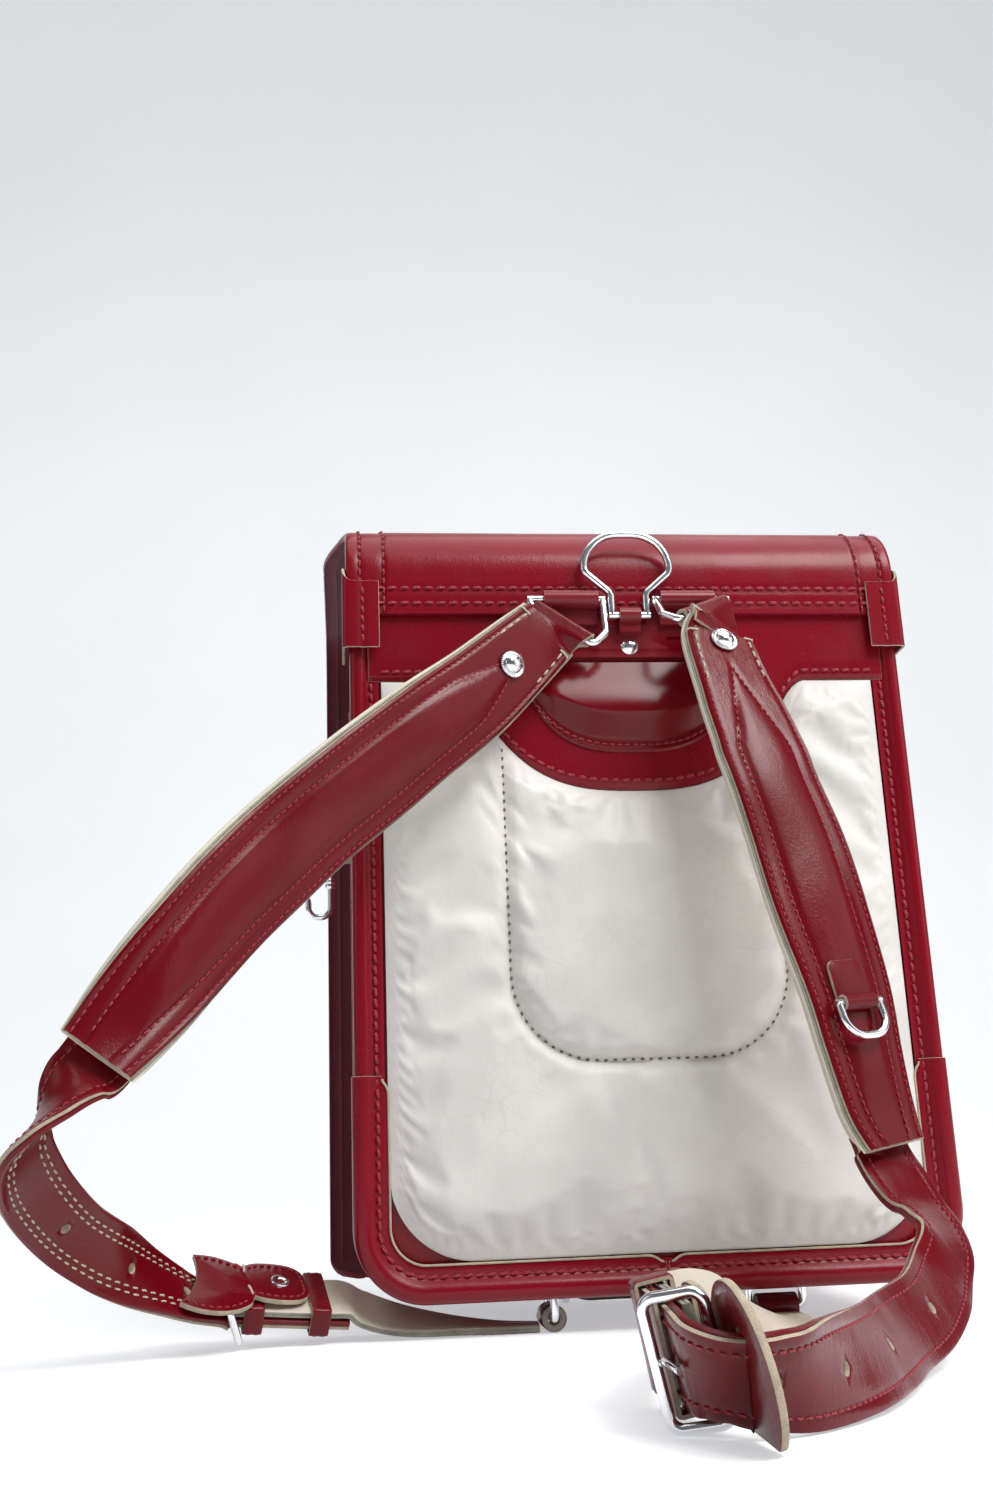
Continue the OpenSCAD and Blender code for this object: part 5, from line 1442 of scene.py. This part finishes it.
# Its ivory side faces up where the belt lies.
def lowerBelt(name, strap):
    run, rows = strap["lower"], []
    for i, w in enumerate(run.w):
        half = [(0, 1.65), (w - 3.8, 1.55), (w - 3.2, 1.4), (w - 2.6, 1.55), (w - 0.7, 1.5),
                (w - 0.1, 1.1), (w, 0.4), (w - 0.35, 0.0), (w, -0.4), (w - 0.1, -1.1),
                (w - 0.7, -1.5), (0, -1.6)]
        rows.append(run.section(i, wholeSection(half, 5)))
    upper, lower = liningIvory, shadedStrapRed
    if run.n[len(run.n) // 3][2] < 0:
        upper, lower = lower, upper
    part = Bundle()
    part.loft(np.array(rows), [upper] * 10 + [grey] * 4 + [lower] * 4 + [grey] * 4)
    for s in (-1, 1):
        part.stitches(run.line(s * (run.w - 3.2), 1.5), run.n, paleThread, pitch=3.6, length=2.5,
                      radius=0.32)
    part.make(name + "LowerBelt", name + "_strap")


# The sewn eye round the lower ring, turned in two layers with a groove between them.
def beltEye(name, strap):
    axis, up, around = ringWay[name], np.array([0, 0, 1.0]), angles(48)[:, None]
    disc = np.cos(around) * np.cross(axis, up) + np.sin(around) * up
    turned = ((-8.9, 5.2), (-8.65, 4.1), (-8.65, 3.8), (-8.9, 2.75), (8.9, 2.75), (8.65, 3.8),
              (8.65, 4.1), (8.9, 5.2), (8.5, 5.45), (-8.5, 5.45))
    rows = [ringFoot[name] + axis * x + r * disc for x, r in turned]
    part = Bundle()
    part.loft(np.stack(rows, 1), [grey, cream, grey, liningIvory, grey, cream, grey, shadedStrapRed,
                                  shadedStrapRed, shadedStrapRed], True)
    part.make(name + "BeltEye", name + "_strap")


bothStraps(strapFace, strapBacking)
bothStraps(strapFold)
bothStraps(strapRivet)
bothStraps(perforatedBelt)
bothStraps(lowerBelt, beltEye)
print("straps done")


# Buckles, all measured from one station of the belt


buckleStation = 30


def buckle(name, strap):
    size = {"wire": 1.6, "half": 16.9, "slant": 8.0, "bend": 3.6, "over": 3.4, "under": 1.0,
            "prong": 1.05, "lift": 1.8}
    p, t, a, n = strap["belt"].station(buckleStation)
    slant, bend, h = size["slant"], size["bend"], size["half"]
    low = -(layer["belt"] / 2 + size["under"] + layer["lower"]) - size["wire"]
    out = layer["belt"] / 2 + size["over"] + size["wire"]
    reach = math.hypot(slant, out - low)
    down = (-slant * t - (out - low) * n) / reach
    corners = [(-h, 0, bend), (h, 0, bend), (h, reach, bend), (-h, reach, bend)]
    part = Bundle()
    part.tube(wirePath(p + t * slant / 2 + n * out, a, down, corners, True), size["wire"], chrome,
              24, True)
    part.make(name + "BuckleFrame", name + "_strap")
    z = layer["belt"] / 2 + size["lift"]
    line = [p + t * x + n * (z + dz) for x, dz in ((5.6, 0.3), (4.5, 0.2), (1, 0.05), (-3, 0),
                                                   (-6, 0), (-7, -0.2))]
    prong = Bundle()
    prong.tube(resample(np.array(line), 0.6), size["prong"], chrome, 16)
    prong.make(name + "BuckleProng", name + "_strap")


# The buckle leather is a gourd along and across the strap: two lobes and a waist.
gourdSize = {"r": 21.3, "near": -12.4, "far": -10.1, "eyelet": 19.5, "waist": 5.0}
smallLobe = [(3.2, -12.6), (4.8, -10.6), (6.6, -11.4), (10.5, -13.4), (17.5, -14.2), (25.5, -13),
             (30.3, -8.5), (31.3, 0), (30.3, 8.5), (25.5, 13), (17.5, 14.2), (10.5, 13.4),
             (6.6, 11.8)]


# The left lobe ends at the belt; both functions give the outline and its free rim.
def leftGourd():
    centre, r = (-12, 4), gourdSize["r"]
    edge = smoothRows([(-25.4, 20), (-21, 13.5), (-17.6, 5.5), (-15.6, -2.5), (-14.9, -10),
                       (-15, -17.1)], 4)
    rim = np.concatenate([arc(*centre, r, 262, 309, 14), smoothRows(smallLobe, 4),
                          arc(*centre, r, 38, 130, 22)])
    return np.concatenate([rim, edge[1:-1]]), rim


# The right lobe has a slot for the belt, with a seam from the slot's end to the rim.
def rightGourd():
    size = {"centre": (-18, 0.5), "top": 18.2, "slot": (-15.4, 4.2), "turn": 60.6, "half": 14.6,
            "gap": 3.4, "round": 1.5, "seam": 0.6}
    centre, r = size["centre"], gourdSize["r"]
    turn = math.radians(size["turn"])
    d = np.array([math.cos(turn), math.sin(turn)])
    out = np.array([d[1], -d[0]]) * size["gap"]
    mid, soft, seam = np.array(size["slot"]), d * size["round"], d * size["seam"]
    head, foot = mid + d * size["half"], mid - d * size["half"]
    slot = [head + out * 0.1 + seam, head + out * 0.8, head + out - soft, mid + out,
            foot + out + soft, foot + out * 0.8, foot - out * 0.8, foot - out + soft, mid - out,
            head - out - soft, head - out * 0.8, head - out * 0.1 + seam]
    first = arc(*centre, r, 60, 322, 60)
    first[:, 1] = np.minimum(first[:, 1], size["top"])
    rim = np.concatenate([first, smoothRows(smallLobe, 4), arc(*centre, r, 34, 58, 8)])
    return np.concatenate([rim, slot]), rim


def buckleLeather(name, strap):
    size = {"sew": 2.3, "gap": 4.5, "bar": 0.55, "least": 6}
    p, t, a, n = strap["belt"].station(buckleStation)
    near, waist = gourdSize["near"], gourdSize["waist"]
    outline, rim = leftGourd() if name == "left" else rightGourd()

    def place(x, y, h):
        return p + x * t + y * a + h * n

    part = Bundle()
    part.plate(outline, near, gourdSize["far"], shadedStrapRed, cream, 0.5,
               place=lambda q: place(q[:, :1], q[:, 2:], q[:, 1:2]))
    line = rim + leftOf(rim) * size["sew"]
    # Stitches stop where the row jumps.
    jumps = np.nonzero(np.linalg.norm(np.diff(line, axis=0), axis=1) > size["gap"])[0] + 1
    for row in np.split(line, jumps):
        if len(row) > size["least"]:
            part.stitches(place(row[:, :1], row[:, 1:], near + 0.05), -n, redThread, pitch=3.2,
                          length=2.3, radius=0.4)
    bar = ((5.2, -12.5), (8.4, -12.7), (10.8, -12.5), (11.6, -11.2), (11.0, -9.6))
    for s in (-1, 1):
        part.tube([place(waist + 0.3 * k, s * y, h) for k, (y, h) in enumerate(bar)],
                  size["bar"], paleThread, 8)
    part.ball(place(gourdSize["eyelet"], 0, near + 0.1), -n,
              [3.9, 4.1, 3.9, 3.2, 2.5, 1.9, 1.7, 0.2],
              [0, 0.3, 0.75, 0.95, 0.8, 0.4, -0.3, -0.35], chrome, 40)
    part.make(name + "BuckleLeather", name + "_strap")


def keepers(name, strap):
    size = {"room": 2.2, "bend": 1.6, "stations": (1, 3)}
    outer = layer["belt"] / 2 + size["room"]
    inner = -(layer["belt"] / 2 + layer["beltGap"] + layer["lower"]) - size["room"]
    bend = size["bend"]
    ring = closedLine(panelOutline(beltHalf + size["room"], inner, outer, bend, bend, (6, 6)), 1.0)
    d = unit(np.roll(ring, -1, 0) - np.roll(ring, 1, 0))
    out = np.stack([d[:, 1], -d[:, 0]], 1)
    # How far along, and how far in from the ring.
    turned = ((-6, 0.3), (-5.6, 0.05), (-4.6, 0), (-3.9, -0.225), (-2, 0), (0, -0.225), (0.9, 0),
              (1.7, 0.05), (2, 0.3), (2, 1.35), (1.5, 1.6), (-5.5, 1.6), (-6, 1.35))
    part = Bundle()
    for k in size["stations"]:
        p, t, a, n = strap["belt"].station(buckleStation + k)
        rows = []
        for x, sink in turned:
            q = ring - out * sink
            rows.append(p + t * x + a * q[:, :1] + n * q[:, 1:])
        part.loft(np.stack(rows, 1), [shadedStrapRed] * 8 + [cream] + [shadedStrapRed] * 3 + [cream], True)
    part.make(name + "Keepers", name + "_strap")


bothStraps(buckle)
bothStraps(buckleLeather)
bothStraps(keepers)


# A leather tab on the right pad, rolled round the D-ring's pin.
def dRing():
    size = {"station": 16, "side": -3.0, "pin": (9.0, 7.4), "roll": 3.3, "drop": 0.3, "wire": 1.6,
            "lean": 6, "near": 3.6, "far": 5.3, "tab": (8.0, -9, 9, 3, 0.8), "thick": 1.4,
            "turn": (-120, 210, 30), "pinHalf": 11.2, "chamfer": (0.4, 1.2)}
    p, t, a, n = straps["right"]["pad"].station(size["station"])
    side, (along, high) = size["side"], size["pin"]
    part = Bundle()
    part.plate(panelOutline(*size["tab"]), size["near"], size["far"], shadedStrapRed, cream, 0.4,
               place=lambda q: p + (q[:, :1] + side) * a + q[:, 2:] * t + q[:, 1:2] * n)
    ang = np.radians(np.linspace(*size["turn"]))[:, None]
    out = np.cos(ang) * t + np.sin(ang) * n
    roll = p + along * t + (high - size["drop"]) * n + size["roll"] * out
    wide = (-7.8, -7.4, -4, 0, 4, 7.4, 7.8)
    part.sheet(np.stack([roll + a * (side + c) for c in wide], 1), size["thick"], shadedStrapRed, cream,
               cream, normals=np.repeat(out[:, None], len(wide), 1))
    part.make("dRingTab", "right_strap")
    lean = math.radians(size["lean"])
    u = unit(t * math.cos(lean) + n * math.sin(lean))
    corners = [(0, -10), (14, -10, 8), (14, 10, 8), (0, 10)]
    origin = p + along * t + side * a + high * n
    bail = Bundle()
    bail.tube(wirePath(origin, u, a, corners, False), size["wire"], chrome, 24)
    pinEnds(bail, origin, a, -size["pinHalf"], size["pinHalf"], size["wire"], size["chamfer"])
    bail.make("dRing", "strap_d_ring")


dRing()
print("buckles done")


# Hard nodes keep their shapes

for node, mat in {"strap_bracket": mouldRed, "bracket_rivet": chrome, "zip_tapes": tape,
                  "zip_slider": chrome, "zip_pull": chrome, "lock_base": chrome,
                  "lock_knob": chrome, "tongue_plate": chrome}.items():
    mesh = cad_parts[node].data
    mesh.materials.clear()
    mesh.materials.append(mat)


# Stage and light, in metres


# A floor that turns up into a wall. Rays from the camera, and those that metal reflects,
# see it a little brighter than it is lit.
def stage():
    size = {"near": -3.0, "flat": 0.9, "far": 2.6, "half": 4.0, "bend": 1.4, "high": 4.0}
    far, r = size["far"], size["bend"]
    line = [(size["near"], 0), (size["flat"], 0), (far - r - 0.1, 0)]
    line += [(far - r + r * math.sin(a), r - r * math.cos(a))
             for a in np.linspace(0, math.pi / 2, 64)] + [(far, size["high"])]
    verts = [(x, y, z) for x in (-size["half"], size["half"]) for y, z in line]
    n = len(line)
    mesh = bpy.data.meshes.new("stage")
    mesh.from_pydata(verts, [], [(i, i + 1, n + i + 1, n + i) for i in range(n - 1)])
    mesh.polygons.foreach_set("use_smooth", [True] * len(mesh.polygons))
    s = Shade("stage")
    cloudy = s.ramp(s.noise(2.0), 0.3, 0.7)
    seen = s.node("LightPath", out="Is Camera Ray") + s.node("LightPath", out="Is Glossy Ray")
    seen = seen + s.node("LightPath", out="Is Transmission Ray")
    s.set(Base_Color=s.mix(cloudy, rgb(0.74, 0.75, 0.76), rgb(0.78, 0.79, 0.8)), Roughness=0.8,
          Emission_Color=s.mix(seen, rgb(0, 0, 0), rgb(0.44, 0.455, 0.47)), Emission_Strength=1.0)
    mesh.materials.append(s.mat)
    newObject("stage", mesh)


def lamp(name, place, target, size, watts):
    data = bpy.data.lights.new(name, "AREA")
    data.shape, data.energy = "RECTANGLE", watts
    data.size, data.size_y = size
    obj = newObject(name, data)
    obj.location = place
    turn = (Vector(target) - Vector(place)).to_track_quat("-Z", "Y")
    obj.rotation_euler = turn.to_euler()


def skyLight(colour, strength):
    world = bpy.data.worlds.new("world")
    bpy.context.scene.world = world
    world.use_nodes = True
    inputs = world.node_tree.nodes["Background"].inputs
    inputs["Color"].default_value, inputs["Strength"].default_value = colour, strength


stage()
lamp("sky", (0.1, -0.1, 2.2), (0, 0.05, 0.2), (2.4, 1.8), 24)
lamp("front", (0.95, -1.3, 1.95), (0, 0, 0.15), (1.4, 1.0), 50)
lamp("window", (1.7, -0.8, 0.8), (0, 0, 0.2), (1.2, 1.2), 5)
lamp("side", (-1.9, -0.6, 0.9), (0, 0, 0.2), (1.0, 1.2), 3)
skyLight(rgb(0.93, 0.96, 1.0), 0.15)
bpy.context.scene.view_settings.view_transform = "Standard"
print("scene done")
